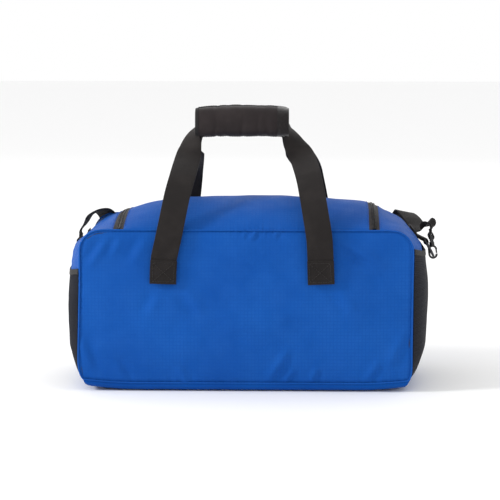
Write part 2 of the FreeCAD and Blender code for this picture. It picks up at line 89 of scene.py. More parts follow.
def smooth(points, t):
    """A smooth curve through the points; t counts them, and may be an array."""
    p = np.asarray(points, float)
    t = np.asarray(t, float)
    i = np.clip(t.astype(int), 0, len(p) - 2)
    f = (t - i)[..., None]
    p0, p1, p2, p3 = (p[np.clip(i + k, 0, len(p) - 1)] for k in (-1, 0, 1, 2))
    return 0.5 * (2 * p1 + (p2 - p0) * f + (2 * p0 - 5 * p1 + 4 * p2 - p3) * f ** 2
                  + (3 * p1 - p0 - 3 * p2 + p3) * f ** 3)


def smoothed(points, steps):
    """The smooth curve in even steps, so many from each point to the next."""
    return smooth(points, np.linspace(0, len(points) - 1, steps * (len(points) - 1) + 1))


def run_along(line):
    """The distance run at each point of a line."""
    return np.concatenate([[0], np.cumsum(np.linalg.norm(np.diff(line, axis=0), axis=1))])


def at_run(s, run, line):
    """The points of a line, or of what goes with it, at distance s along it."""
    return np.stack([np.interp(s, run, line[:, k]) for k in range(3)], -1)


CROWN_R = (SEAM_Y ** 2 + (CREST_Z - SEAM_Z) ** 2) / (2 * (CREST_Z - SEAM_Z))


def crown(y):
    """1 on the bag's mid-plane, 0 at the long seams, along an arc."""
    low = math.sqrt(CROWN_R ** 2 - SEAM_Y ** 2)
    return (np.sqrt(CROWN_R ** 2 - np.minimum(np.abs(y), SEAM_Y) ** 2) - low) / (CROWN_R - low)


def gusset(side, q, y):
    """The band round the bag between its two big panels, at station q and distance y from the mid-plane."""
    rim, middle = smooth(RIM[side], q) * MM, smooth(MIDDLE[side], q) * MM
    c = np.asarray(crown(y))[..., None]
    xz = rim + (middle - rim) * c
    return np.stack([xz[..., 0] * side, np.broadcast_to(y, xz[..., 0].shape), xz[..., 1]], -1)


TOP_Q = np.linspace(0, CORNER, 240)


def station(side, x, y):
    """The station at which the gusset passes over x."""
    return float(np.interp(abs(x), gusset(side, TOP_Q, y)[:, 0] * side, TOP_Q))


def top_point(x, y):
    """The place on the bag's top above (x, y)."""
    side = 1 if x >= 0 else -1
    over = gusset(side, TOP_Q, y)
    return Vector((x, y, float(np.interp(abs(x), over[:, 0] * side, over[:, 2]))))


def top_normal(x, y):
    e = 1.5 * MM
    run = top_point(x + e, y) - top_point(x - e, y)
    across = top_point(x, min(y + e, SEAM_Y)) - top_point(x, max(y - e, -SEAM_Y))
    return run.cross(across).normalized()


def zip_outline(grow):
    """The zip's U seen from above, grown outwards: its points from the rear left end to the rear right."""
    x, y, r = ZIP_X + grow, ZIP_Y + grow, ZIP_R + grow
    points = [(-x, v) for v in np.arange(ZIP_BACK, y - r - MM, 2.5 * MM)]
    for cx, start in ((-(x - r), 180), (x - r, 90)):
        points += [(cx + r * math.cos(math.radians(a)), y - r + r * math.sin(math.radians(a)))
                   for a in range(start, start - 91, -5)]
        if start == 180:
            points += [(v, y) for v in np.arange(-(x - r) + 3 * MM, x - r - MM, 3 * MM)]
    points += [(x, v) for v in np.arange(y - r - 2.5 * MM, ZIP_BACK - MM, -2.5 * MM)]
    return points


def zip_half_width(y, grow):
    """Half the width inside the zip's U, grown outwards, at y."""
    centre, r = ZIP_Y - ZIP_R, ZIP_R + grow
    if y <= centre:
        return ZIP_X + grow
    return ZIP_X - ZIP_R + math.sqrt(max(r ** 2 - (y - centre) ** 2, 0))


# ---------------------------------------------------------------- cloth that isn't quite smooth
def wander(x, y, pitch, seed):
    """Slow, seeded unevenness from -1 to 1."""
    return noise.noise(Vector((x / pitch, y / pitch, seed)))


def fold(x, z, a, b, width, height):
    """A soft fold from a to b, in millimetres: proud on one side, sunk on the other, fading at its ends."""
    ax, az, bx, bz = (v * MM for v in (*a, *b))
    dx, dz = bx - ax, bz - az
    length = math.hypot(dx, dz)
    along = ((x - ax) * dx + (z - az) * dz) / length
    off = ((x - ax) * dz - (z - az) * dx) / length / (width * MM)
    if abs(off) > 4 or along < -length or along > 2 * length:
        return 0.0
    fade = math.exp(-((along / length - 0.5) / 0.42) ** 4)
    return height * MM * fade * (math.exp(-(off + 0.6) ** 2) - 0.9 * math.exp(-(off - 0.6) ** 2))


def pucker(along, off, pitch, reach, seed):
    """Small gathers beside a seam, of uneven size: they die away with distance off it."""
    size = 0.5 + 0.5 * wander(along, 0.3, 6 * pitch, seed)
    wave = math.sin(2 * math.pi * (along / pitch + 1.3 * wander(along, 0.7, 2.2 * pitch, seed + 3)))
    return size * wave * math.exp(-(max(off, 0) / reach) ** 1.4)


def seam_pull(off):
    """How far cloth is drawn in beside its seam."""
    return -1.7 * MM * math.exp(-(off / (3.2 * MM)) ** 2)


# ---------------------------------------------------------------- meshes
CURL, CURL_FROM, CURL_TOP = 7.5 * MM, 160 * MM, 75 * MM      # how high, beyond what x, and up to what height


def corner_lift(verts):
    """The base's ends curl up a little from the floor, and the cloth above them goes with it."""
    v = np.array(verts, float).reshape(-1, 3)
    end = np.clip((np.abs(v[:, 0]) - CURL_FROM) / (85 * MM), 0, 1.2)
    low = np.clip(1 - v[:, 2] / CURL_TOP, 0, 1)
    v[:, 2] += CURL * end ** 2 * low ** 1.5
    return v


def finish_mesh(name, verts, faces, coords=None):
    verts = corner_lift(verts)
    me = bpy.data.meshes.new(name)
    me.from_pydata([tuple(v) for v in verts], [], [tuple(int(i) for i in f) for f in faces])
    me.validate()
    if coords is not None:
        layer = me.attributes.new("cloth", "FLOAT_VECTOR", "POINT")
        layer.data.foreach_set("vector", np.asarray(coords, np.float32).ravel())
    me.shade_smooth()
    me.set_sharp_from_angle(angle=math.radians(48))
    obj = bpy.data.objects.new(name, me)
    bpy.context.scene.collection.objects.link(obj)
    return obj


def grid_normals(p, loop):
    if loop:
        dv = np.roll(p, -1, 1) - np.roll(p, 1, 1)
    else:
        dv = np.gradient(p, axis=1)
    n = np.cross(np.gradient(p, axis=0), dv)
    return n / np.maximum(np.linalg.norm(n, axis=-1, keepdims=True), 1e-12)


def lengths(p):
    """Distance run along the second axis, from its middle."""
    step = np.linalg.norm(np.diff(p, axis=1), axis=-1)
    run = np.concatenate([np.zeros((len(p), 1)), np.cumsum(step, 1)], 1)
    return run - run[:, run.shape[1] // 2][:, None]


def cloth(name, grid, thick, outside, loop=False, coords=None, relief=None):
    """A piece of cloth of even thickness whose outer face is the grid of points.

    loop joins the grid's last column to its first. outside is roughly the way that the outer face looks.
    relief moves its points outwards.
    """
    p = np.asarray([[tuple(v) for v in row] for row in grid], float)
    n = grid_normals(p, loop)
    middle = n[len(n) // 2, n.shape[1] // 3]
    flip = float(np.dot(middle, outside)) < 0
    if flip:
        n = -n
    if coords is None:
        u = lengths(p)
        v = np.repeat(lengths(p[:, p.shape[1] // 2][None])[0][:, None], p.shape[1], 1)
        coords = np.stack([u, v, np.zeros_like(u)], -1)
    if relief is not None:
        p = p + n * np.asarray(relief)[..., None]
        n = grid_normals(p, loop) * (-1 if flip else 1)
    rows, cols = p.shape[:2]
    size = rows * cols
    verts = np.concatenate([p.reshape(-1, 3), (p - n * thick).reshape(-1, 3)])
    index = np.arange(size).reshape(rows, cols)
    across = index if not loop else np.concatenate([index, index[:, :1]], 1)
    a, b, c, d = (across[:-1, :-1], across[:-1, 1:], across[1:, 1:], across[1:, :-1])
    front = np.stack([a, d, c, b] if flip else [a, b, c, d], -1).reshape(-1, 4)
    if not flip:
        front = front[:, ::-1]
    outer, inner = front, front[:, ::-1] + size
    walls = []
    edges = [across[0], across[-1][::-1]]
    if not loop:
        edges += [across[:, -1], across[:, 0][::-1]]
    for edge in edges:
        walls += [(edge[k], edge[k + 1], edge[k + 1] + size, edge[k] + size) for k in range(len(edge) - 1)]
    faces = np.concatenate([outer, inner, np.asarray(walls)])
    obj = finish_mesh(name, verts, faces, np.concatenate([coords.reshape(-1, 3)] * 2))
    bm = bmesh.new()
    bm.from_mesh(obj.data)
    bmesh.ops.recalc_face_normals(bm, faces=bm.faces)
    bm.to_mesh(obj.data)
    bm.free()
    return obj


def frames(points, across):
    """The ways across and out of a ribbon along a smooth route."""
    points = np.asarray(points, float)
    ahead = np.gradient(points, axis=0)
    ahead /= np.linalg.norm(ahead, axis=1, keepdims=True)
    side = np.asarray(across, float)
    side = side - ahead * np.sum(side * ahead, 1, keepdims=True)
    side /= np.linalg.norm(side, axis=1, keepdims=True)
    return side, np.cross(ahead, side)


def ribbon(name, points, across, width, thick, waves=0.0, seed=0):
    """Webbing along a route, with rounded selvedges: a closed section swept along it."""
    side, face = frames(points, across)
    h, t = width / 2, thick / 2
    e = min(0.7 * MM, h * 0.3)
    section = [(-h, 0), (-h + e * 0.5, t * 0.9), (-h + e * 2, t * 1.06)]
    section += [(-h + e * 2 + k * (2 * h - 4 * e) / 8, t) for k in range(1, 8)]
    section += [(h - e * 2, t * 1.06), (h - e * 0.5, t * 0.9), (h, 0)]
    section += [(a, -b) for a, b in section[-2:0:-1]]
    rings, coords, run = [], [], 0.0
    for k, p in enumerate(np.asarray(points, float)):
        run += 0.0 if k == 0 else float(np.linalg.norm(p - points[k - 1]))
        lift = waves * wander(run, 0.2, 45 * MM, seed)
        rings.append([p + side[k] * a + face[k] * (b + lift * (1 - (a / h) ** 2)) for a, b in section])
        coords.append([(run, a, b) for a, b in section])
    rings, n = np.asarray(rings), len(section)
    verts = rings.reshape(-1, 3)
    faces = [(i * n + j, i * n + (j + 1) % n, (i + 1) * n + (j + 1) % n, (i + 1) * n + j)
             for i in range(len(rings) - 1) for j in range(n)]
    last = (len(rings) - 1) * n
    faces += [tuple(range(n))[::-1], tuple(last + k for k in range(n))]
    return finish_mesh(name, verts, faces, np.asarray(coords).reshape(-1, 3))


def tube_parts(points, radius, sides=8):
    """The vertices and faces of a closed round tube along points, with rounded ends."""
    points = np.asarray(points, float)
    ahead = np.gradient(points, axis=0)
    ahead /= np.maximum(np.linalg.norm(ahead, axis=1, keepdims=True), 1e-12)
    ref = np.array([0.31, 0.17, 0.93]) if abs(ahead[0][2]) < 0.9 else np.array([1.0, 0.2, 0.1])
    verts, faces = [], []
    for k, p in enumerate(points):
        side = ref - ahead[k] * np.dot(ref, ahead[k])
        side /= np.linalg.norm(side)
        ref = side
        up = np.cross(ahead[k], side)
        r = radius * (0.55 if k in (0, len(points) - 1) else 1.0)
        for j in range(sides):
            a = 2 * math.pi * j / sides
            verts.append(p + (side * math.cos(a) + up * math.sin(a)) * r)
    for k in range(len(points) - 1):
        for j in range(sides):
            a, b = k * sides + j, k * sides + (j + 1) % sides
            faces.append((a, b, b + sides, a + sides))
    last = (len(points) - 1) * sides
    faces += [tuple(range(sides))[::-1], tuple(last + j for j in range(sides))]
    return verts, faces


def tubes(name, paths, radius, sides=8):
    """Many small closed tubes as one piece: stitches, zip teeth or piping."""
    verts, faces, coords = [], [], []
    for path in paths:
        v, f = tube_parts(path, radius, sides)
        faces += [tuple(len(verts) + i for i in face) for face in f]
        verts += v
    coords = [tuple(v) for v in verts]
    return finish_mesh(name, verts, faces, coords)


def stitch_paths(points, lift, length=2.6 * MM, gap=1.0 * MM):
    """Short threads along a line of points, each dipping into the cloth at its ends. lift is the way out."""
    points = np.asarray(points, float)
    lift = np.asarray(lift, float)
    run = run_along(points)
    paths, s = [], 0.5 * gap
    while s + length < run[-1]:
        at = [s, s + 0.25 * length, s + 0.75 * length, s + length]
        rise = [-0.25 * MM, 0.18 * MM, 0.18 * MM, -0.25 * MM]
        path = []
        for a, r in zip(at, rise):
            p, out = at_run(a, run, points), at_run(a, run, lift)
            path.append(p + out / np.linalg.norm(out) * r)
        paths.append(path)
        s += length + gap
    return paths


# ---------------------------------------------------------------- materials
def srgb(r, g, b):
    """A colour given as a monitor shows it, as the renderer's linear values."""
    linear = (((v / 255 + 0.055) / 1.055) ** 2.4 if v > 10 else v / 255 / 12.92 for v in (r, g, b))
    return tuple(linear) + (1.0,)


class Graph:
    """A material under construction. Its methods add nodes and return their outputs."""

    def __init__(self, name, rough, sheen=0.0, metal=0.0, level=0.5, coat=0.0):
        self.made = bpy.data.materials.new(name)
        self.made.use_nodes = True
        self.tree = self.made.node_tree
        self.shader = self.tree.nodes["Principled BSDF"]
        self.shader.inputs["Roughness"].default_value = rough
        self.shader.inputs["Metallic"].default_value = metal
        self.shader.inputs["Specular IOR Level"].default_value = level
        self.shader.inputs["Sheen Weight"].default_value = sheen
        self.shader.inputs["Sheen Roughness"].default_value = 0.45
        self.shader.inputs["Coat Weight"].default_value = coat
        self.heights = []

    def node(self, kind, **settings):
        made = self.tree.nodes.new(kind)
        for key, value in settings.items():
            setattr(made, key, value)
        return made

    def join(self, value, socket):
        if isinstance(value, (int, float, tuple)):
            socket.default_value = value
        else:
            self.tree.links.new(value, socket)

    def cloth(self):
        return self.node("ShaderNodeAttribute", attribute_name="cloth").outputs["Vector"]

    def place(self):
        return self.node("ShaderNodeTexCoord").outputs["Object"]

    def split(self, vector):
        made = self.node("ShaderNodeSeparateXYZ")
        self.join(vector, made.inputs[0])
        return made.outputs

    def math(self, operation, a, b=0.0, c=0.0):
        made = self.node("ShaderNodeMath", operation=operation)
        for value, socket in zip((a, b, c), made.inputs):
            self.join(value, socket)
        return made.outputs[0]

    def noise(self, vector, scale, detail=3.0, rough=0.55):
        made = self.node("ShaderNodeTexNoise")
        self.join(vector, made.inputs["Vector"])
        made.inputs["Scale"].default_value = scale
        made.inputs["Detail"].default_value = detail
        made.inputs["Roughness"].default_value = rough
        return made.outputs["Fac"]

    def ramp(self, value, low, high, to_low=0.0, to_high=1.0):
        made = self.node("ShaderNodeMapRange", clamp=True)
        for v, key in zip((value, low, high, to_low, to_high), range(5)):
            self.join(v, made.inputs[key])
        return made.outputs[0]

    def mix(self, factor, a, b):
        made = self.node("ShaderNodeMix", data_type="RGBA")
        self.join(factor, made.inputs[0])
        self.join(a, made.inputs[6])
        self.join(b, made.inputs[7])
        return made.outputs[2]

    def times(self, a, b):
        return self.math("MULTIPLY", a, b)

    def plus(self, a, b):
        return self.math("ADD", a, b)

    def tint(self, tone, other, where, share):
        """Moves a tone by a share towards another colour, where the value says."""
        return self.mix(self.times(where, share), tone, other)

    def wave(self, value, pitch):
        """A sine from 0 to 1 that repeats every pitch metres."""
        return self.ramp(self.math("SINE", self.math("MULTIPLY", value, 2 * math.pi / pitch)), -1.0, 1.0)

    def line(self, value, pitch, share):
        """1 on a thin line every pitch metres, share of the pitch wide, else 0."""
        f = self.math("FRACT", self.math("DIVIDE", value, pitch))
        return self.ramp(self.math("ABSOLUTE", self.math("SUBTRACT", f, 0.5)), share / 2, share, 1.0, 0.0)

    def finish(self, colour, height=None, depth=0.1 * MM, strength=0.6, rough=None):
        self.join(colour, self.shader.inputs["Base Color"])
        if rough is not None:
            self.join(rough, self.shader.inputs["Roughness"])
        if height is not None:
            bump = self.node("ShaderNodeBump")
            bump.inputs["Strength"].default_value = strength
            bump.inputs["Distance"].default_value = depth
            self.join(height, bump.inputs["Height"])
            self.tree.links.new(bump.outputs[0], self.shader.inputs["Normal"])
        return self.made


def ripstop(name, deep, mid, light, rough=0.56, sheen=0.03, grid=5.2 * MM):
    """Coated woven polyester: a plain weave with a fine raised grid, uneven in shade, paler where rubbed."""
    g = Graph(name, rough, sheen=sheen, level=0.05)
    at, place = g.cloth(), g.place()
    u, v, _ = g.split(at)
    weave = g.times(g.wave(u, 1.1 * MM), g.wave(v, 1.1 * MM))
    lines = g.math("MAXIMUM", g.line(u, grid, 0.16), g.line(v, grid, 0.16))
    broad = g.ramp(g.noise(place, 7.0, 2.0), 0.32, 0.68)
    patch = g.ramp(g.noise(place, 38.0, 3.0), 0.35, 0.7)
    slub = g.noise(at, 900.0, 2.0)
    base = g.mix(broad, deep, mid)
    base = g.tint(base, light, patch, 0.12)
    base = g.tint(base, deep, lines, 0.4)
    base = g.tint(base, light, weave, 0.2)
    base = g.tint(base, deep, g.ramp(slub, 0.45, 0.75), 0.16)
    raised = g.plus(lines, g.times(slub, 0.5))
    height = g.plus(g.times(weave, 0.6), raised)
    shine = g.plus(g.times(patch, -0.08), g.math("MULTIPLY_ADD", slub, 0.12, rough))
    return g.finish(base, height, 0.16 * MM, 0.55, shine)


def webbing(name, deep, light, width):
    """Heavy woven strap: ribs along its run, crossed by a small twill, with plainer selvedges and fuzz."""
    g = Graph(name, 0.82, sheen=0.06, level=0.2)
    at, place = g.cloth(), g.place()
    u, v, _ = g.split(at)
    twill = g.wave(g.plus(u, g.times(g.wave(v, 4.6 * MM), 1.6 * MM)), 2.1 * MM)
    ribs = g.wave(v, 1.55 * MM)
    picks = g.wave(u, 1.3 * MM)
    edge = g.ramp(g.math("ABSOLUTE", v), width / 2 - 2.4 * MM, width / 2 - 1.6 * MM)
    fuzz = g.noise(place, 1400.0, 2.0)
    rub = g.ramp(g.noise(place, 30.0, 3.0), 0.42, 0.75)
    knots = g.times(g.times(ribs, picks), 0.8)
    height = g.plus(g.times(twill, 0.5), knots)
    tone = g.tint(deep, light, height, 0.42)
    tone = g.tint(tone, light, rub, 0.3)
    tone = g.tint(tone, deep, g.times(edge, picks), 0.45)
    tone = g.tint(tone, deep, fuzz, 0.25)
    return g.finish(tone, g.plus(height, g.times(fuzz, 0.4)), 0.32 * MM, 0.8,
                    g.math("MULTIPLY_ADD", rub, -0.1, 0.82))


def netting(name, thread, hole_shade):
    """Warp-knit mesh: rows of small openings between paler threads, in faint ribs; the openings are painted
    shade.
    """
    g = Graph(name, 0.85, sheen=0.01, level=0.05)
    at, place = g.cloth(), g.place()
    u, v, _ = g.split(at)
    shift = g.times(g.math("FLOOR", g.math("DIVIDE", v, 2.2 * MM)), 1.3 * MM)
    cells = g.times(g.wave(g.plus(u, shift), 2.6 * MM), g.wave(v, 2.2 * MM))
    rib = g.wave(v, 8.8 * MM)
    opening = g.ramp(cells, 0.3, 0.55)
    wear = g.ramp(g.noise(place, 26.0, 3.0), 0.4, 0.72)
    # Painted shade: the openings take the near-black hole colour, for the shade seen through the mesh into
    # the pocket.
    tone = g.mix(opening, thread, hole_shade)
    tone = g.tint(tone, hole_shade, rib, 0.3)
    tone = g.tint(tone, thread, wear, 0.2)
    return g.finish(tone, g.math("SUBTRACT", rib, g.times(opening, 1.6)), 0.35 * MM, 0.8,
                    g.math("MULTIPLY_ADD", opening, 0.2, 0.6))


def plain_weave(name, deep, light, pitch, rough=0.75, sheen=0.05):
    """Simple woven cloth for linings, tapes and bindings."""
    g = Graph(name, rough, sheen=sheen, level=0.22)
    at, place = g.cloth(), g.place()
    u, v, _ = g.split(at)
    weave = g.times(g.wave(u, pitch), g.wave(v, pitch))
    shade = g.ramp(g.noise(place, 24.0, 3.0), 0.35, 0.7)
    fuzz = g.noise(place, 1100.0, 2.0)
    tone = g.tint(deep, light, weave, 0.45)
    tone = g.tint(tone, light, shade, 0.3)
    tone = g.tint(tone, deep, fuzz, 0.2)
    return g.finish(tone, g.plus(weave, g.times(fuzz, 0.4)), 0.2 * MM, 0.7,
                    g.math("MULTIPLY_ADD", shade, -0.1, rough + 0.05))


def hook_and_loop(name, deep, light):
    g = Graph(name, 0.95, sheen=0.5, level=0.15)
    place = g.place()
    loops = g.noise(place, 620.0, 4.0, 0.75)
    clumps = g.noise(place, 170.0, 2.0)
    tone = g.mix(g.ramp(loops, 0.35, 0.7), deep, light)
    tone = g.tint(tone, deep, clumps, 0.4)
    return g.finish(tone, g.plus(loops, g.times(clumps, 0.5)), 1.0 * MM, 0.9)


def hardware(name, deep, light, rough, metal):
    """Painted or blackened metal, or moulded plastic: fine grain, handling marks and paler rubbed patches."""
    g = Graph(name, rough, metal=metal, level=0.5)
    place = g.place()
    grain = g.noise(place, 1500.0, 3.0)
    marks = g.ramp(g.noise(place, 160.0, 4.0, 0.7), 0.52, 0.72)
    tone = g.tint(deep, light, marks, 0.55)
    tone = g.tint(tone, deep, grain, 0.15)
    return g.finish(tone, g.plus(grain, g.times(marks, -0.4)), 0.05 * MM, 0.5,
                    g.math("MULTIPLY_ADD", marks, -0.12, rough + 0.04))


def coil_plastic(name, deep, light):
    g = Graph(name, 0.38, level=0.5)
    place = g.place()
    rub = g.ramp(g.noise(place, 210.0, 3.0), 0.45, 0.7)
    grain = g.noise(place, 2400.0, 2.0)
    tone = g.tint(deep, light, rub, 0.5)
    return g.finish(tone, grain, 0.04 * MM, 0.4, g.math("MULTIPLY_ADD", grain, 0.15, 0.32))


BLUE = ripstop("ripstop_blue", srgb(12, 70, 148), srgb(18, 80, 160), srgb(44, 104, 186))
BLACK_CLOTH = ripstop("ripstop_black", srgb(19, 20, 25), srgb(28, 30, 38), srgb(42, 45, 56),
                      rough=0.8, sheen=0.01, grid=4.2 * MM)
BASE_CLOTH = ripstop("base_blue", srgb(7, 66, 146), srgb(10, 78, 158), srgb(32, 98, 180), sheen=0.02)
NET = netting("pocket_net", srgb(28, 29, 38), srgb(7, 7, 11))
HANDLE_WEB = webbing("handle_webbing", srgb(20, 17, 17), srgb(52, 46, 44), 38 * MM)
STRAP_WEB = webbing("strap_webbing", srgb(22, 20, 20), srgb(58, 54, 52), 32 * MM)
TAPE = plain_weave("zip_tape", srgb(28, 25, 25), srgb(62, 57, 56), 0.9 * MM)
BINDING = plain_weave("binding_tape", srgb(19, 18, 19), srgb(50, 48, 49), 1.1 * MM)
GRIP_CLOTH = plain_weave("grip_cloth", srgb(28, 23, 24), srgb(64, 55, 55), 1.2 * MM, 0.8, 0.1)
LINING = plain_weave("lining_cloth", srgb(38, 40, 46), srgb(74, 77, 85), 0.8 * MM, 0.6, 0.1)
LOOPS = hook_and_loop("hook_and_loop", srgb(16, 14, 15), srgb(46, 41, 41))
THREAD_BLUE = plain_weave("thread_blue", srgb(18, 62, 145), srgb(50, 105, 200), 0.5 * MM, 0.5)
THREAD_DARK = plain_weave("thread_dark", srgb(30, 28, 28), srgb(84, 79, 77), 0.5 * MM, 0.5)
COIL = coil_plastic("zip_coil", srgb(20, 19, 20), srgb(74, 70, 70))
GUNMETAL = hardware("gunmetal", srgb(58, 58, 62), srgb(140, 140, 146), 0.34, 0.9)
RUBBER = hardware("pull_rubber", srgb(22, 22, 24), srgb(60, 60, 64), 0.6, 0.0)
PLASTIC = hardware("moulded_plastic", srgb(20, 20, 22), srgb(58, 58, 62), 0.42, 0.0)
BOARD = hardware("base_board", srgb(46, 44, 42), srgb(88, 84, 80), 0.7, 0.0)


def dress(obj, material, body=None):
    """Gives a piece its finish, and lets it ride on a body."""
    obj.data.materials.clear()
    obj.data.materials.append(material)
    if body:
        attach(obj, body)
    return obj


def lining(name, grid, outside, rows=3, relief=0.0, inwards=3.9 * MM, body="bag"):
    """Lining behind a piece of shell cloth, made on every third column of its grid."""
    thin = [row[::3] for row in grid[::rows]]
    away = np.full((len(thin), len(thin[0])), -inwards) + relief
    return dress(cloth(name, thin, LINING_T, outside, relief=away), LINING, body)


def sew(name, paths, radius, material, body="bag"):
    """Stitches as one piece."""
    dress(tubes(name, paths, radius, 5), material, body)


# ---------------------------------------------------------------- camera, light and floor
AIM = Vector((2.4 * MM, 0.0, 195 * MM))
CAMERA_YAW, CAMERA_RISE, CAMERA_FAR = math.radians(1.6), math.radians(7.0), 3.5


def studio():
    data = bpy.data.cameras.new("camera")
    data.sensor_width = 36.0
    data.lens = 167.4
    data.clip_end = 60
    camera = bpy.data.objects.new("camera", data)
    level = math.cos(CAMERA_RISE)
    away = Vector((math.sin(CAMERA_YAW) * level, -math.cos(CAMERA_YAW) * level, math.sin(CAMERA_RISE)))
    camera.location = AIM + away * CAMERA_FAR
    camera.rotation_euler = (-away).to_track_quat("-Z", "Y").to_euler()
    bpy.context.scene.collection.objects.link(camera)
    bpy.context.scene.camera = camera

    me = bpy.data.meshes.new("floor")
    me.from_pydata([(-9, -9, 0), (9, -9, 0), (9, 9, 0), (-9, 9, 0)], [], [(0, 1, 2, 3)])
    floor = bpy.data.objects.new("floor", me)
    bpy.context.scene.collection.objects.link(floor)
    white = bpy.data.materials.new("floor_white")
    white.use_nodes = True
    shader = white.node_tree.nodes["Principled BSDF"]
    shader.inputs["Base Color"].default_value = (0.93, 0.93, 0.93, 1)
    shader.inputs["Roughness"].default_value = 0.9
    me.materials.append(white)

    for name, place, size, power in (("key", (-2.9, -1.05, 1.7), 0.7, 70), ("fill", (2.6, -2.2, 1.2), 2.2, 4),
                                     ("low", (0.2, -3.0, 0.3), 1.4, 5), ("back", (0.5, 3.2, 1.8), 2.2, 8)):
        light = bpy.data.lights.new(name, "AREA")
        light.size = size
        light.energy = power
        lamp = bpy.data.objects.new(name, light)
        lamp.location = place
        lamp.rotation_euler = (Vector((0, 0, 0.2)) - Vector(place)).to_track_quat("-Z", "Y").to_euler()
        bpy.context.scene.collection.objects.link(lamp)
    world = bpy.data.worlds.new("world")
    world.use_nodes = True
    world.node_tree.nodes["Background"].inputs["Color"].default_value = (1, 1, 1, 1)
    world.node_tree.nodes["Background"].inputs["Strength"].default_value = 1.0
    bpy.context.scene.world = world
    bpy.context.scene.view_settings.view_transform = "Standard"


studio()


# ---------------------------------------------------------------- the two big panels
RIM_Q = np.linspace(7, LAST, 400)
RIM_XZ = {side: smooth(RIM[side], RIM_Q) * MM for side in (-1, 1)}
FOOT_X = {-1: -120 * MM, 1: 108 * MM}


def rim_half(z, side):
    """How far a big panel reaches to the left (-1) or right (1) at height z."""
    return float(np.interp(z, RIM_XZ[side][::-1, 1], RIM_XZ[side][::-1, 0]))


def face_point(face, x, z):
    f = max(0.0, 1 - (x / HALF_X) ** 2)
    g = max(0.0, 1 - ((z - BULGE_Z) / (SEAM_Z - BULGE_Z)) ** 2)
    return Vector((x, face * (SEAM_Y + BULGE * f * g), z))


REAR_FOLDS = [
    ((8, 222), (19, 238), 4, 1.8), ((-2, 226), (3, 238), 3, 1.1), ((44, 226), (50, 238), 4, 1.4),
    ((36, 14), (66, 62), 7, 3.0), ((58, 12), (74, 34), 5, 1.8), ((98, 12), (107, 36), 5, 2.2),
    ((130, 220), (190, 192), 8, 2.8), ((146, 206), (212, 178), 7, 2.2),
    ((160, 188), (200, 170), 8, 1.5), ((-206, 226), (-234, 186), 7, 2.4),
    ((-186, 228), (-200, 200), 6, 1.6), ((-150, 228), (-172, 190), 8, 1.6),
    ((126, 152), (154, 116), 10, 2.2), ((-96, 152), (-66, 112), 10, 2.0),
    ((-130, 150), (-150, 112), 9, 1.6), ((-30, 200), (40, 176), 12, 1.6),
    ((-60, 110), (10, 84), 14, 1.7), ((60, 120), (120, 88), 13, 1.5), ((212, 34), (238, 92), 8, 2.4),
    ((-220, 26), (-240, 84), 8, 2.2), ((178, 14), (198, 44), 6, 2.0), ((-170, 14), (-190, 48), 7, 1.7),
    ((-80, 12), (-96, 40), 7, 1.5),
]
FRONT_FOLDS = [
    ((-60, 14), (-88, 66), 8, 2.8), ((118, 216), (176, 186), 8, 2.6),
    ((-206, 224), (-232, 184), 8, 2.4), ((90, 152), (62, 112), 10, 2.0), ((220, 30), (238, 86), 8, 2.2),
    ((-30, 224), (-22, 238), 4, 1.7), ((-128, 150), (-156, 112), 10, 1.9),
    ((20, 120), (70, 96), 13, 1.5), ((60, 12), (78, 44), 7, 1.8),
]


def panel_relief(x, z, folds, seed):
    beside = rim_half(z, 1 if x > 0 else -1) - abs(x)
    off = min(SEAM_Z - z, beside, z - BASE_Z)
    calm = 1 - math.exp(-max(off, 0) / (16 * MM))
    rise = calm * (3.4 * MM * wander(x, z, 120 * MM, seed) + 1.7 * MM * wander(x, z, 46 * MM, seed + 5)
                   + 0.3 * MM * wander(x, z, 16 * MM, seed + 9))
    rise += sum(fold(x, z, *f) for f in folds)
    top = 0.35 + 0.65 * math.exp(-((x - 30 * MM) / (38 * MM)) ** 2)
    rise += 1.1 * MM * top * pucker(x, SEAM_Z - z, 8 * MM, 9 * MM, seed + 1)
    rise += 0.7 * MM * pucker(x, z - BASE_Z, 13 * MM, 9 * MM, seed + 2)
    rise += 0.7 * MM * pucker(z, beside, 12 * MM, 8 * MM, seed + 4)
    for foot in FOOT_X.values():
        near = math.exp(-((x - foot) / (26 * MM)) ** 2 - ((z - 158 * MM) / (16 * MM)) ** 2)
        rise -= 0.8 * MM * near
    return rise + seam_pull(off)


def big_panel(name, face, folds, seed):
    zs = np.linspace(BASE_Z, SEAM_Z, 96)
    us = np.linspace(-1, 1, 205)
    grid = [[face_point(face, u * rim_half(z, 1 if u > 0 else -1), z) for u in us] for z in zs]
    relief = [[panel_relief(p.x, p.z, folds, seed) for p in row] for row in grid]
    coords = [[(p.x, p.z, 0) for p in row] for row in grid]
    piece = cloth(f"{name}_fabric", grid, SHELL_T, (0, face, 0), coords=np.asarray(coords), relief=relief)
    dress(piece, BLUE, "bag")
    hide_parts(name)
    return lining(f"{name}_lining", grid, (0, face, 0), relief=0.12 * np.asarray(relief)[::3, ::3])


linings = [big_panel("rear_panel", -1, REAR_FOLDS, 11.0), big_panel("front_panel", 1, FRONT_FOLDS, 57.0)]


# ---------------------------------------------------------------- shoulders, ends, front strip and base
def even(line, count):
    """Points evenly spaced along a line of points."""
    line = np.asarray(line, float)
    run = run_along(line)
    return at_run(np.linspace(0, run[-1], count), run, line)


def station_down(z):
    """The station near height z on the upper part of the bag's end."""
    return CORNER + (205 * MM - z) / (40 * MM)


def mouth_station(side):
    """The station of the seam hidden well under a pocket's mouth."""
    return station_down(MOUTH[side] - UNDER_MOUTH)


ROW_Y = np.unique(np.concatenate([np.linspace(-SEAM_Y, SEAM_Y, 80),
                                  np.array([89, 91, 92.4, 93.4, 93.9, 94.2, 94.6]) * MM]))


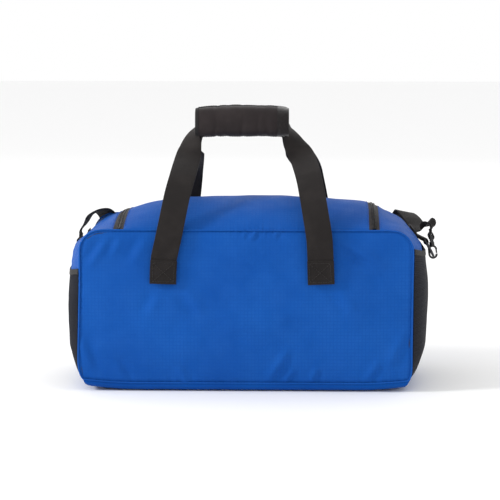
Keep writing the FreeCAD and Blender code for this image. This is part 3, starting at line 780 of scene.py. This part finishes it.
def gusset_relief(grid, seed, ripple=0.0):
    rise = []
    for row in grid:
        line = []
        for k, (x, y, z) in enumerate(row):
            off = SEAM_Y - abs(y)
            edge = min(off, k * 2.4 * MM)
            calm = 1 - math.exp(-edge / (12 * MM))
            v = calm * (1.6 * MM * wander(y, z + abs(x), 70 * MM, seed)
                        + 0.6 * MM * wander(y, z, 28 * MM, seed + 2))
            v += 0.5 * MM * pucker(z - abs(x), off, 10 * MM, 9 * MM, seed + 1)
            phase = z / (13 * MM) + 0.6 * wander(y, z, 40 * MM, seed + 4)
            strength = max(0.0, wander(y, z, 46 * MM, seed + 6) + 0.35)
            v += ripple * calm * math.sin(2 * math.pi * phase) * strength
            line.append(v + seam_pull(off) + 0.6 * seam_pull(k * 2.4 * MM))
        rise.append(line)
    return np.asarray(rise)


def shoulder(name, side, seed):
    q_end = mouth_station(side)
    grid = []
    for y in ROW_Y:
        inner = zip_half_width(y, ZIP_HALF) if y < ZIP_Y + ZIP_HALF else ZIP_X - ZIP_R
        qs = np.linspace(station(side, inner, y), q_end, 90)
        grid.append(even(gusset(side, qs, y), 52))
    relief = gusset_relief(grid, seed, 0.5 * MM)
    out = (side, 0, 1)
    piece = cloth(f"{name}_shoulder_fabric", grid, SHELL_T, out, relief=relief)
    dress(piece, BLUE, "bag")
    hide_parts(f"{name}_shoulder")
    lining(f"{name}_shoulder_lining", grid, out, rows=2)


def end_panel(name, side, seed):
    qs = np.linspace(mouth_station(side) + 0.01, LAST, 60)
    ys = np.linspace(-SEAM_Y, SEAM_Y, 80)
    grid = [gusset(side, np.full(80, q), ys) for q in qs]
    relief = [[1.4 * MM * (1 - (y / SEAM_Y) ** 8) * wander(y, p[2], 60 * MM, seed)
               + seam_pull(SEAM_Y - abs(y)) for y, p in zip(ys, row)] for row in grid]
    piece = cloth(f"{name}_end_fabric", grid, SHELL_T, (side, 0, 0), relief=relief)
    dress(piece, BLUE, "bag")
    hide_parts(f"{name}_end_panel")
    lining(f"{name}_end_lining", grid, (side, 0, 0))


def front_strip():
    ys = np.linspace(ZIP_Y + ZIP_HALF, SEAM_Y, 14)
    xs = np.linspace(-(ZIP_X - ZIP_R), ZIP_X - ZIP_R, 120)
    grid = [[top_point(x, y) for x in xs] for y in ys]
    relief = [[0.6 * MM * pucker(x, SEAM_Y - y, 9 * MM, 9 * MM, 31.0) + seam_pull(SEAM_Y - y) for x in xs]
              for y in ys]
    piece = cloth("front_top_strip_fabric", grid, SHELL_T, (0, 1, 1), relief=relief)
    dress(piece, BLUE, "bag")
    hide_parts("front_top_strip")
    lining("front_top_strip_lining", grid, (0, 1, 1))


for end, sign, start in (("left", -1, 71.0), ("right", 1, 83.0)):
    shoulder(end, sign, start)
    end_panel(end, sign, start + 3)
front_strip()
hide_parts("body_lining")


def base_ring(inset, z, count=60):
    """A line round the bag parallel to the base seam."""
    side_y = np.linspace(-SEAM_Y, SEAM_Y, count // 2)
    edge_x = np.linspace(-rim_half(BASE_Z, -1), rim_half(BASE_Z, 1), count)
    ring = [tuple(face_point(-1, x, BASE_Z)) for x in edge_x]
    ring += [tuple(gusset(1, LAST, y)) for y in side_y[1:-1]]
    ring += [tuple(face_point(1, x, BASE_Z)) for x in edge_x[::-1]]
    ring += [tuple(gusset(-1, LAST, y)) for y in side_y[-2:0:-1]]
    sx, sy = 1 - inset / (250 * MM), 1 - inset / SEAM_Y
    return [(x * sx, y * sy, z) for x, y, _ in ring]


def base():
    profile = [(0, 13), (0.3, 10.5), (1.2, 7.6), (3, 4.8), (6, 2.6), (11, 1.1), (18, 0.35), (27, 0),
               (36, 0.5), (50, 0.6), (70, 0.4), (90, 0.6), (108, 0.6), (117.5, 0.6)]
    rings = [base_ring(i * MM, z * MM) for i, z in profile]
    relief = np.zeros((len(rings), len(rings[0])))
    for k in range(5):
        relief[k] = [0.3 * MM * wander(x, y, 22 * MM, 91.0 + k * 0.2) for x, y, _ in rings[k]]
    relief[0] += seam_pull(0)
    coords = [[(x, y - z, 0) for x, y, z in ring] for ring in rings]
    piece = cloth("base_fabric", rings, 0.35 * MM, (0, -1, -0.2), loop=True, coords=np.asarray(coords),
                  relief=relief)
    dress(piece, BASE_CLOTH, "bag")
    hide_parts("base_panel")


base()


# ---------------------------------------------------------------- the lid
def lid():
    ys = np.concatenate([np.linspace(-SEAM_Y, 40 * MM, 74), np.linspace(42 * MM, ZIP_Y - ZIP_HALF, 26)])
    us = np.linspace(-1, 1, 170)
    grid, relief = [], []
    for y in ys:
        half = zip_half_width(y, -ZIP_HALF)
        row = [top_point(u * half, y) for u in us]
        grid.append(row)
        line = []
        for p in row:
            back, edge = y + SEAM_Y, min(half - abs(p.x), ZIP_Y - ZIP_HALF - y)
            calm = 1 - math.exp(-min(back, edge + 3 * MM) / (15 * MM))
            v = calm * (2.0 * MM * wander(p.x, y, 90 * MM, 101.0) + 0.8 * MM * wander(p.x, y, 36 * MM, 103.0))
            gathered = 0.3 + 1.2 * math.exp(-((p.x - 30 * MM) / (34 * MM)) ** 2)
            v += 0.85 * MM * gathered * pucker(p.x, back, 8.5 * MM, 12 * MM, 104.0)
            v += 0.35 * MM * pucker(y + abs(p.x), edge, 11 * MM, 8 * MM, 106.0)
            line.append(v + seam_pull(back) + 0.6 * seam_pull(edge))
        relief.append(line)
    coords = [[(p.x, p.y, 0) for p in row] for row in grid]
    piece = cloth("lid_fabric", grid, SHELL_T, (0, 0, 1), coords=np.asarray(coords), relief=relief)
    dress(piece, BLUE)
    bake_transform(piece)
    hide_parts("lid_panel")
    inner = lining("lid_lining_cloth", grid, (0, 0, 1), inwards=3.6 * MM, body=None)
    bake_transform(inner)
    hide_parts("lid_lining")


lid()


# ---------------------------------------------------------------- piping
def piping(name, face):
    y = face * (SEAM_Y + 0.2 * MM)
    qs = np.linspace(0, LAST, 260)
    right = [(x, y, z + 0.2 * MM) for x, z in smooth(RIM[1], qs) * MM]
    low = [(x, y, BASE_Z) for x in np.linspace(right[-1][0], -rim_half(BASE_Z, -1), 160)][1:-1]
    left = [(-x, y, z + 0.2 * MM) for x, z in smooth(RIM[-1], qs)[::-1] * MM]
    piece = tubes(f"{name}_seam_piping", [right + low + left[:-1] + [right[0]]], 1.25 * MM, 8)
    dress(piece, BLUE, "bag")
    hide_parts(f"{name}_seam_binding")


piping("rear", -1)
piping("front", 1)


# ---------------------------------------------------------------- the zip
def on_top(outline, lift):
    """Points of a plan outline set on the bag's top, and the way out of the cloth at each."""
    outs = [top_normal(x, y) for x, y in outline]
    return [top_point(x, y) + n * lift for (x, y), n in zip(outline, outs)], outs


def zip_tape(name, inner, outer, body, node):
    a, _ = on_top(zip_outline(inner), -0.7 * MM)
    b, _ = on_top(zip_outline(outer), -0.5 * MM)
    grid = [[p.lerp(q, t) for p, q in zip(a, b)] for t in np.linspace(0, 1, 5)]
    piece = cloth(f"{name}_zip_tape_cloth", grid, 0.7 * MM, (0, 0, 1))
    dress(piece, TAPE, body)
    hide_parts(node)


zip_tape("lid", -TAPE_OUT, -TAPE_IN, "lid", "lid_zip_tape")
zip_tape("body", TAPE_IN, TAPE_OUT, "bag", "body_zip_tape")

TOOTH_PITCH = 1.9 * MM


def zip_teeth(name, sign, body, node):
    """One row of nylon coil: a loop of thread every pitch, reaching to just short of the other row."""
    line = np.asarray([(x, y, 0) for x, y in zip_outline(0)])
    run = run_along(line)
    paths = []
    for k in range(int(run[-1] / TOOTH_PITCH)):
        s = (k + (0.25 if sign > 0 else 0.75)) * TOOTH_PITCH
        x, y, _ = map(float, at_run(s, run, line))
        xa, ya, _ = map(float, at_run(s + 0.4 * MM, run, line))
        ahead = Vector((xa - x, ya - y, 0)).normalized()
        out = Vector((-ahead.y, ahead.x, 0)) * sign
        if y > ZIP_Y - 30 * MM and abs(x) < 100 * MM:
            out = Vector((0, 1, 0)) * sign
        n = top_normal(x, y)
        at = top_point(x, y)
        out = (out - n * out.dot(n)).normalized()
        paths.append([at + out * 3.2 * MM - n * 0.9 * MM, at + out * 2.6 * MM + n * 0.35 * MM,
                      at + out * 1.2 * MM + n * 0.45 * MM, at + out * 0.35 * MM - n * 0.25 * MM])
    piece = tubes(f"{name}_zip_teeth", paths, 0.55 * MM, 6)
    dress(piece, COIL, body)
    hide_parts(node)


zip_teeth("lid", -1, "lid", "lid_zip_coil")
zip_teeth("body", 1, "bag", "body_zip_coil")


def topstitch(name, outline, body, material):
    points, outs = on_top(outline, 0.1 * MM)
    sew(name, stitch_paths(points, outs), 0.32 * MM, material, body)


topstitch("lid_topstitch", zip_outline(-TOPSTITCH)[4:-4], "lid", THREAD_BLUE)
topstitch("body_topstitch", zip_outline(TOPSTITCH)[2:-2], "bag", THREAD_BLUE)


# ---------------------------------------------------------------- end pockets
POCKET_Y = 113 * MM       # half a pocket's width
POCKET_OUT = {-1: 4.8, 1: 7.0}       # how far a pocket stands off the bag's end, in millimetres
MOUTH_SAG = {-1: 10.0, 1: 1.5}       # how far the middle of a pocket's mouth hangs
MOUTH_RISE = {-1: 0.5, 1: 7.5}       # how far its two ends reach up


def pocket(name, side, material, seed):
    mouth = MOUTH[side]
    qs = np.linspace(station_down(mouth), LAST - 0.7, 70)
    ys = np.linspace(-POCKET_Y, POCKET_Y, 84)
    base_grid = np.stack([gusset(side, np.full(84, q), ys) for q in qs])
    grid = []
    for row in base_grid:
        line = []
        for x, y, z in row:
            across = 1 - abs(y / (113.5 * MM)) ** 3.2
            down = min(1.0, (z - 15 * MM) / (40 * MM)) ** 0.6 if z > 15 * MM else 0.0
            middle = math.cos(math.pi * y / (2 * POCKET_Y))
            tight = 1 - 0.45 * math.exp(-((mouth - z) / (34 * MM)) ** 2)
            out = 0.7 * MM + POCKET_OUT[side] * MM * down * tight * across
            out += across * down * (1.3 * MM * wander(y, z, 60 * MM, seed)
                                    + 0.5 * MM * wander(y, z, 22 * MM, seed + 2))
            near = max(0.0, 1 - (mouth - z) / (60 * MM))
            dip = (MOUTH_SAG[side] * middle - MOUTH_RISE[side] * (1 - middle)) * MM * near
            line.append((x + side * out, y, z - dip))
        grid.append(line)
    piece = cloth(f"{name}_pocket_cloth", grid, 1.2 * MM, (side, 0, 0))
    dress(piece, material, "bag")
    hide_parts(f"{name}_pocket")
    rim, below = np.asarray(grid[0]), np.asarray(grid[8])
    edge = [(a + (b - a) * (3.4 * MM / np.linalg.norm(b - a))) for a, b in zip(rim, below)]
    edge = [tuple(Vector(p) - Vector((side * 0.6 * MM, 0, -1.4 * MM))) for p in edge]
    across = [tuple(Vector(b - a).normalized()) for a, b in zip(rim, below)]
    tape = ribbon(f"{name}_pocket_binding_tape", edge, across, 8.4 * MM, 2.6 * MM)
    dress(tape, BINDING, "bag")
    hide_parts(f"{name}_pocket_binding")
    line = [tuple(Vector(p) + Vector((side * 1.35 * MM, 0, -2.6 * MM))) for p in edge]
    sew(f"{name}_pocket_stitches", stitch_paths(line, [(side, 0, 0)] * len(line)), 0.3 * MM, THREAD_DARK)


pocket("left", -1, BLACK_CLOTH, 131.0)
pocket("right", 1, NET, 137.0)


# ---------------------------------------------------------------- handles
WEB, WEB_T = 38 * MM, 1.8 * MM
GRIP_X, GRIP_Z, GRIP_LONG = -9 * MM, 384 * MM, 69.5 * MM
SPREAD = 5.2              # each handle's height above or below the grip's middle, in millimetres

HANDLE_X = -6             # the handles' middle, in millimetres

# One side of a handle from its sewn foot up to the grip: how far out from the middle on the left and on the
# right, how far from the bag's mid-plane, height, and turn from lying flat. In millimetres and degrees.
LEG = [
    (114.5, 115.5, 131.5, 161, 90), (114, 114.8, 131.6, 178, 90), (113, 114.2, 132.2, 196, 90),
    (112.2, 114.0, 132.4, 202, 90), (106.4, 112.4, 131.5, 228, 90), (100.5, 107.6, 121, 258, 90),
    (95.0, 102.0, 98, 288, 90), (88.6, 96.0, 68, 314, 90), (81.6, 85.2, 23, 337, 80),
    (77.4, 74.5, 10, 352, 58), (73.4, 68.0, 3.4, 364, 30), (66.5, 62.0, 0.6, 374, 8),
]
# How much less far out the front handle's left leg stands.
FRONT_IN = [0, 2, 4, 4.5, 7.5, 9, 8, 5, 1, 0, 0, 0]


def handle_leg(face, side):
    level = -SPREAD * face
    leg = []
    for (left, right, y, z, turn), inwards in zip(LEG, FRONT_IN):
        x = right if side > 0 else left
        if face > 0 and side < 0:
            x -= inwards
        share = max(0.0, (z - 314) / 60)
        leg.append((x + 0.9 * share * level, y, z + (0.8 * share * level if z > 360 else 0), turn))
    leg += [(56 + level, 0, 381 + level, 0), (30, 0, 383 + level, 0), (0, 0, 383 + level, 0)]
    return [(Vector((HANDLE_X + side * x, y * face, z)) * MM, turn) for x, y, z, turn in leg]


def handle_route(face):
    """The handle's centreline and its way across, at close, even steps."""
    left, right = handle_leg(face, -1), handle_leg(face, 1)
    points = [p for p, _ in left] + [p for p, _ in right[-2::-1]]
    turns = [t for _, t in left] + [t for _, t in right[-2::-1]]
    across = []
    for k, turn in enumerate(turns):
        run = (points[min(k + 1, len(points) - 1)] - points[max(k - 1, 0)]).normalized()
        flat = (Vector((0, 1, 0)) - run * run.y).normalized()
        a = math.radians(turn)
        across.append(tuple(flat * math.cos(a) + run.cross(flat) * math.sin(a)))
    return smoothed(points, 16), smoothed(across, 16)


def foot_stitches(name, face):
    """The sewn box and cross on each foot, in doubled thread."""
    paths = []
    for side in (-1, 1):
        x0 = HANDLE_X * MM + side * 114.4 * MM
        slant = -side * 1.2 * MM
        low, high, half = 164.5 * MM, 192 * MM, 15.5 * MM
        corners = [(x0 - half, low), (x0 + half, low), (x0 + half + slant, high), (x0 - half + slant, high)]
        lines = [(corners[k], corners[(k + 1) % 4]) for k in range(4)]
        lines += [(corners[0], corners[2]), (corners[1], corners[3])]
        for a, b in lines:
            n = int(math.hypot(b[0] - a[0], b[1] - a[1]) / (2 * MM)) + 2
            xs, zs = np.linspace(a[0], b[0], n), np.linspace(a[1], b[1], n)
            run = [(x, face * leg_y(z), z) for x, z in zip(xs, zs)]
            paths += stitch_paths(run, [(0, face, 0)] * n, 2.8 * MM, 0.9 * MM)
    sew(f"{name}_foot_stitches", paths, 0.36 * MM, THREAD_DARK)


def leg_y(z):
    """How far from the mid-plane a foot's outer face lies at height z."""
    middle = np.interp(z / MM, [161, 178, 196], [131.5, 131.6, 132.2])
    return float(middle + 2.25) * MM


def foot_patch(name, face):
    """The webbing's end turned under and sewn down: a second layer over each foot."""
    for side, word in ((-1, "left"), (1, "right")):
        run = [p for p, _ in handle_leg(face, side)[:3]]
        points = smooth([tuple(p + Vector((0, face * 1.45 * MM, 0))) for p in run], np.linspace(0, 1.94, 24))
        patch = ribbon(f"{name}_foot_{word}", points, [(face * 1.0, 0, 0)] * 24, WEB + 0.8 * MM, 1.2 * MM)
        dress(patch, HANDLE_WEB, "bag")


def handle(name, face):
    points, across = handle_route(face)
    piece = ribbon(f"{name}_handle_webbing", points, across, WEB, WEB_T, waves=0.25 * MM, seed=150.0 + face)
    dress(piece, HANDLE_WEB)
    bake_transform(piece)
    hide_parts(f"{name}_handle", f"{name}_handle_ends")
    foot_patch(name, face)
    foot_stitches(name, face)


handle("rear", -1)
handle("front", 1)


# ---------------------------------------------------------------- the padded grip
GRIP_HALF_Y, GRIP_HALF_Z = 25.6 * MM, 21 * MM
GRIP_ROUND = 0.62         # 1 would be an oval, and less is squarer
GRIP_PAD = 3.6 * MM       # the padding's thickness
GRIP_CROWN = 3.6 * MM     # how far the middle of its top swells up


def grip_section(angle, puff):
    """A point of the grip's outline across the bag; 0 degrees is the front and 90 the top."""
    c, s = math.cos(math.radians(angle)), math.sin(math.radians(angle))
    y = GRIP_HALF_Y * math.copysign(abs(c) ** GRIP_ROUND, c)
    z = GRIP_HALF_Z * math.copysign(abs(s) ** GRIP_ROUND, s)
    return y * puff, z * puff


GRIP_UP = 3.6 * MM        # the padding stands a little higher than the webbing in it
GRIP_CREASES = [(-48, 2.6, 1.3), (-31, 4.0, 0.9), (-9, 3.2, 1.2), (14, 2.4, 0.9), (27, 4.4, 1.1),
                (43, 2.8, 1.0)]     # x, width and depth, in millimetres


def grip_part(name, first, last, count, node, body, seed):
    xs = np.linspace(GRIP_X - GRIP_LONG, GRIP_X + GRIP_LONG, 92)
    grid = []
    for x in xs:
        end = 1 - abs((x - GRIP_X) / GRIP_LONG) ** 14
        row = []
        for angle in np.linspace(first, last, count):
            puff = 0.955 + 0.045 * end
            y, z = grip_section(angle, puff)
            out = Vector((0, y, z)).normalized()
            rise = 1.3 * MM * wander(x, angle / 1500, 40 * MM, seed) * end
            for at, wide, deep in GRIP_CREASES:
                bend = at * MM + 5 * MM * wander(angle / 1500, 0.1, 30 * MM, seed + at)
                strength = 0.6 + 0.4 * math.sin(math.radians(angle * 2 + at))
                rise -= deep * MM * math.exp(-((x - bend) / (wide * MM)) ** 2) * strength
            upwards = max(0.0, math.sin(math.radians(angle))) ** 2
            crown_up = GRIP_CROWN * upwards * (1 - ((x - GRIP_X) / GRIP_LONG) ** 2)
            edge = min(abs(angle - first), abs(angle - last)) * 0.42 * MM
            rise -= 0.9 * MM * math.exp(-(edge / (2.2 * MM)) ** 2)
            p = Vector((x, y, GRIP_Z + GRIP_UP + z)) + out * rise + Vector((0, 0, crown_up))
            row.append(p)
        grid.append(row)
    piece = cloth(name, grid, GRIP_PAD, (0, -1, 0) if body == "rear_handle" else (0, 1, 0))
    dress(piece, GRIP_CLOTH, body)
    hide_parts(node)
    return np.asarray(grid)


wrap_grid = grip_part("grip_wrap_padding", 81.5, 278.5, 84, "grip_wrap", "rear_handle", 171.0)
flap_grid = grip_part("grip_flap_padding", -79.5, 79.5, 68, "grip_flap", "grip_flap", 171.0)


HEM = 7 * MM


def grip_trim():
    """Bound edges of the wrap and its flap, the hook-and-loop band at the right end, and their stitching."""
    def lay(name, grid, column, inwards, width, material, body, lift=0.5 * MM):
        line = grid[2:-2, column]
        toward = grid[2:-2, column + inwards * 3]
        across = [tuple(Vector(b - a).normalized()) for a, b in zip(line, toward)]
        middle = [Vector(a) + Vector(c) * width * 0.45 for a, c in zip(line, across)]
        centre = Vector((0, 0, GRIP_Z + GRIP_UP))
        outs = [(m - Vector((m.x, centre.y, centre.z))).normalized() for m in middle]
        points = [m + o * lift for m, o in zip(middle, outs)]
        tape = ribbon(name, points, across, width, 1.1 * MM)
        dress(tape, material, body)
        thread = [p + Vector(c) * width * 0.28 + o * 0.75 * MM for p, c, o in zip(points, across, outs)]
        sew(name + "_stitches", stitch_paths(thread, outs), 0.3 * MM, THREAD_DARK, body)

    lay("grip_wrap_hem", wrap_grid, 0, 1, HEM, BINDING, "rear_handle")
    lay("grip_wrap_low_hem", wrap_grid, -1, -1, HEM, BINDING, "rear_handle")
    lay("grip_flap_hem", flap_grid, -1, -1, HEM, BINDING, "grip_flap")
    lay("grip_flap_low_hem", flap_grid, 0, 1, HEM, BINDING, "grip_flap")
    for side, wide, material in ((-1, 4, BINDING), (1, 12, LOOPS)):
        rows = wrap_grid[:wide] if side < 0 else wrap_grid[-wide:]
        band = cloth(f"grip_band_{'left' if side < 0 else 'right'}", rows[:, 2:-2], 1.0 * MM, (0, -1, 0),
                     relief=np.full(rows[:, 2:-2].shape[:2], 0.8 * MM))
        dress(band, material, "rear_handle")


grip_trim()


# ---------------------------------------------------------------- D-rings, hooks and the shoulder strap
STRAP, STRAP_T = 32 * MM, 1.8 * MM
RING_BAR = {"left": Vector((-255.529, 98, 190)) * MM, "right": Vector((267.941, 30, 205.5)) * MM}
RING_WIRE = {"left": Vector((-266.806, 98, 168.814)) * MM, "right": Vector((279.217, 30, 184.314)) * MM}
HOOK_UP = Vector((-0.12, 0.06, 1.0))
# Heights along the hook from the ring's wire, and the thickness of its eye's bar, in millimetres.
EYE_LOW, EYE_HIGH, FOLD_TOP, EYE_T = 27.7, 30.7, 39.7, 4.4
TAB, TAB_T = 25 * MM, 1.5 * MM           # the webbing that holds a D-ring

STRAP_ROUTE = [
    (-255.5, 99.5, 223, (0.05, 1, -0.08)), (-250, 101, 233, (0.05, 0.97, -0.2)),
    (-241, 105, 240, (-0.3, 0.85, -0.3)), (-231, 114, 242, (-0.75, 0.6, -0.25)),
    (-223, 126, 233, (-0.93, 0.35, -0.08)), (-217, 136, 214, (-0.9, 0.42, 0)),
    (-210, 144, 192, (-0.75, 0.65, 0)), (-199, 150.5, 165, (-0.4, 0.9, 0)), (-178, 152.5, 134, (0, 1, 0)),
    (-146, 152.5, 104, (0, 1, 0)), (-100, 152.5, 78, (0, 1, 0)), (-46, 152.5, 64, (0, 1, 0)),
    (12, 152.5, 60, (0, 1, 0)), (70, 152.5, 65, (0, 1, 0)), (124, 152.5, 82, (0, 1, 0)),
    (168, 152.5, 112, (0, 1, 0)), (197, 152.5, 150, (0.2, 1, 0)), (210, 151, 175, (0.6, 0.8, 0)),
    (219, 145, 198, (0.85, 0.5, 0)), (228, 133, 222, (0.93, 0.35, -0.07)),
    (236, 117, 239, (0.93, 0.33, -0.2)), (240, 102, 242, (0.85, 0.45, -0.2)),
    (247.5, 84, 236, (0.72, 0.65, 0)), (255.5, 66, 227, (0.57, 0.78, 0.15)),
    (263.5, 50, 224.5, (0.38, 0.9, 0.1)), (270.5, 37.5, 232, (0.15, 0.98, 0.1)),
]


def hook_frame(name):
    """The hook's own axes: where the ring crosses it, up to the strap, outwards, and across."""
    side = -1 if name == "left" else 1
    up = Vector((HOOK_UP.x * side, HOOK_UP.y, HOOK_UP.z)).normalized()
    out = Vector((side, 0, 0))
    out = (out - up * out.dot(up)).normalized()
    return RING_WIRE[name], up, out, up.cross(out)


def fold_points(name):
    """The strap's end, from the tail inside, down and round the eye's bar, and up to where it runs on."""
    at, up, out, _ = hook_frame(name)
    t = STRAP_T / MM
    x = EYE_T / 2 + 0.3 + t / 2
    profile = [(-t / 2 - 0.05, FOLD_TOP), (-t / 2 - 0.05, EYE_HIGH + 4), (-x, EYE_HIGH), (-x, EYE_LOW),
               (-x * 0.55, EYE_LOW - 1.6), (x * 0.55, EYE_LOW - 1.6), (x, EYE_LOW), (x, EYE_HIGH),
               (t / 2 + 0.05, EYE_HIGH + 4), (t / 2 + 0.05, FOLD_TOP), (t / 2, FOLD_TOP + 5)]
    return [at + out * a * MM + up * b * MM for a, b in profile]


def shoulder_strap():
    left, right = fold_points("left"), fold_points("right")[::-1]
    points = left + [Vector((x, y, z)) * MM for x, y, z, _ in STRAP_ROUTE] + right
    across = [(0, 1, 0)] * len(left) + [a for *_, a in STRAP_ROUTE] + [(0, 1, 0)] * len(right)
    route, sides = smoothed(points, 10), smoothed(across, 10)
    piece = ribbon("shoulder_strap_webbing", route, sides, STRAP, STRAP_T)
    dress(piece, STRAP_WEB, "bag")
    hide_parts("shoulder_strap", "strap_end_left", "strap_end_right")
    paths = []
    for name in ("left", "right"):
        at, up, out, w = hook_frame(name)
        face = STRAP_T + 0.12 * MM
        for height in (EYE_HIGH + 4.8, FOLD_TOP - 1.4):
            run = [at + up * height * MM + w * s + out * face for s in np.linspace(-13 * MM, 13 * MM, 16)]
            paths += stitch_paths(run, [tuple(out)] * 16)
    sew("strap_end_stitches", paths, 0.34 * MM, THREAD_DARK)


shoulder_strap()


def ring_tab(name):
    """Webbing folded round the ring's bar, both its layers sewn flat to the shoulder above."""
    side = -1 if name == "left" else 1
    bar = RING_BAR[name]
    qs = np.linspace(7, CORNER + 1, 120)
    cut = gusset(side, qs, bar.y)

    def on(z, lift):
        k = int(np.argmin(np.abs(cut[:, 2] - z)))
        run = Vector(cut[k + 1]) - Vector(cut[k - 1])
        out = run.cross(Vector((0, 1, 0))).normalized()
        if out.x * side < 0:
            out = -out
        return Vector((cut[k][0], bar.y, cut[k][2])) + out * lift

    r = 3.2 * MM
    loop = [bar + Vector((side * math.cos(math.radians(a)) * r, 0, math.sin(math.radians(a)) * r))
            for a in (75, 40, 5, -35, -75, -120, -165, -200)]
    top = [on(bar.z + up * MM, 3.0 * MM) for up in (23.5, 18.5, 13.5, 8.5)]
    under = [on(bar.z + up * MM, 1.1 * MM) for up in (6.5, 12.5, 18.5, 22.5)]
    points = top + loop + under
    route = smoothed([tuple(p) for p in points], 8)
    piece = ribbon(f"d_ring_tab_{name}_webbing", route, [(0, 1, 0)] * len(route), TAB, TAB_T)
    dress(piece, STRAP_WEB, "bag")
    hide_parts(f"d_ring_tab_{name}")
    paths = []
    for up in (11.5, 21.5):
        spot = on(bar.z + up * MM, 3.9 * MM)
        run = [spot + Vector((0, s, 0)) for s in np.linspace(-10 * MM, 10 * MM, 12)]
        paths += stitch_paths(run, [(side, 0, 0.6)] * 12)
    sew(f"d_ring_tab_{name}_stitches", paths, 0.32 * MM, THREAD_DARK)


ring_tab("left")
ring_tab("right")


# ---------------------------------------------------------------- the CAD's own hard parts
HARD = {
    "zip_slider_left": GUNMETAL, "zip_slider_right": GUNMETAL,
    "zip_pull_left": RUBBER, "zip_pull_right": RUBBER,
    "d_ring_left": GUNMETAL, "d_ring_right": GUNMETAL, "hook_left": PLASTIC, "hook_right": PLASTIC,
    "hook_gate_left": PLASTIC, "hook_gate_right": PLASTIC,
    "hook_eye_left": PLASTIC, "hook_eye_right": PLASTIC,
    "strap_adjuster": PLASTIC, "base_board": BOARD,
}
for name, material in HARD.items():
    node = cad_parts[name]
    node.data.materials.clear()
    node.data.materials.append(material)
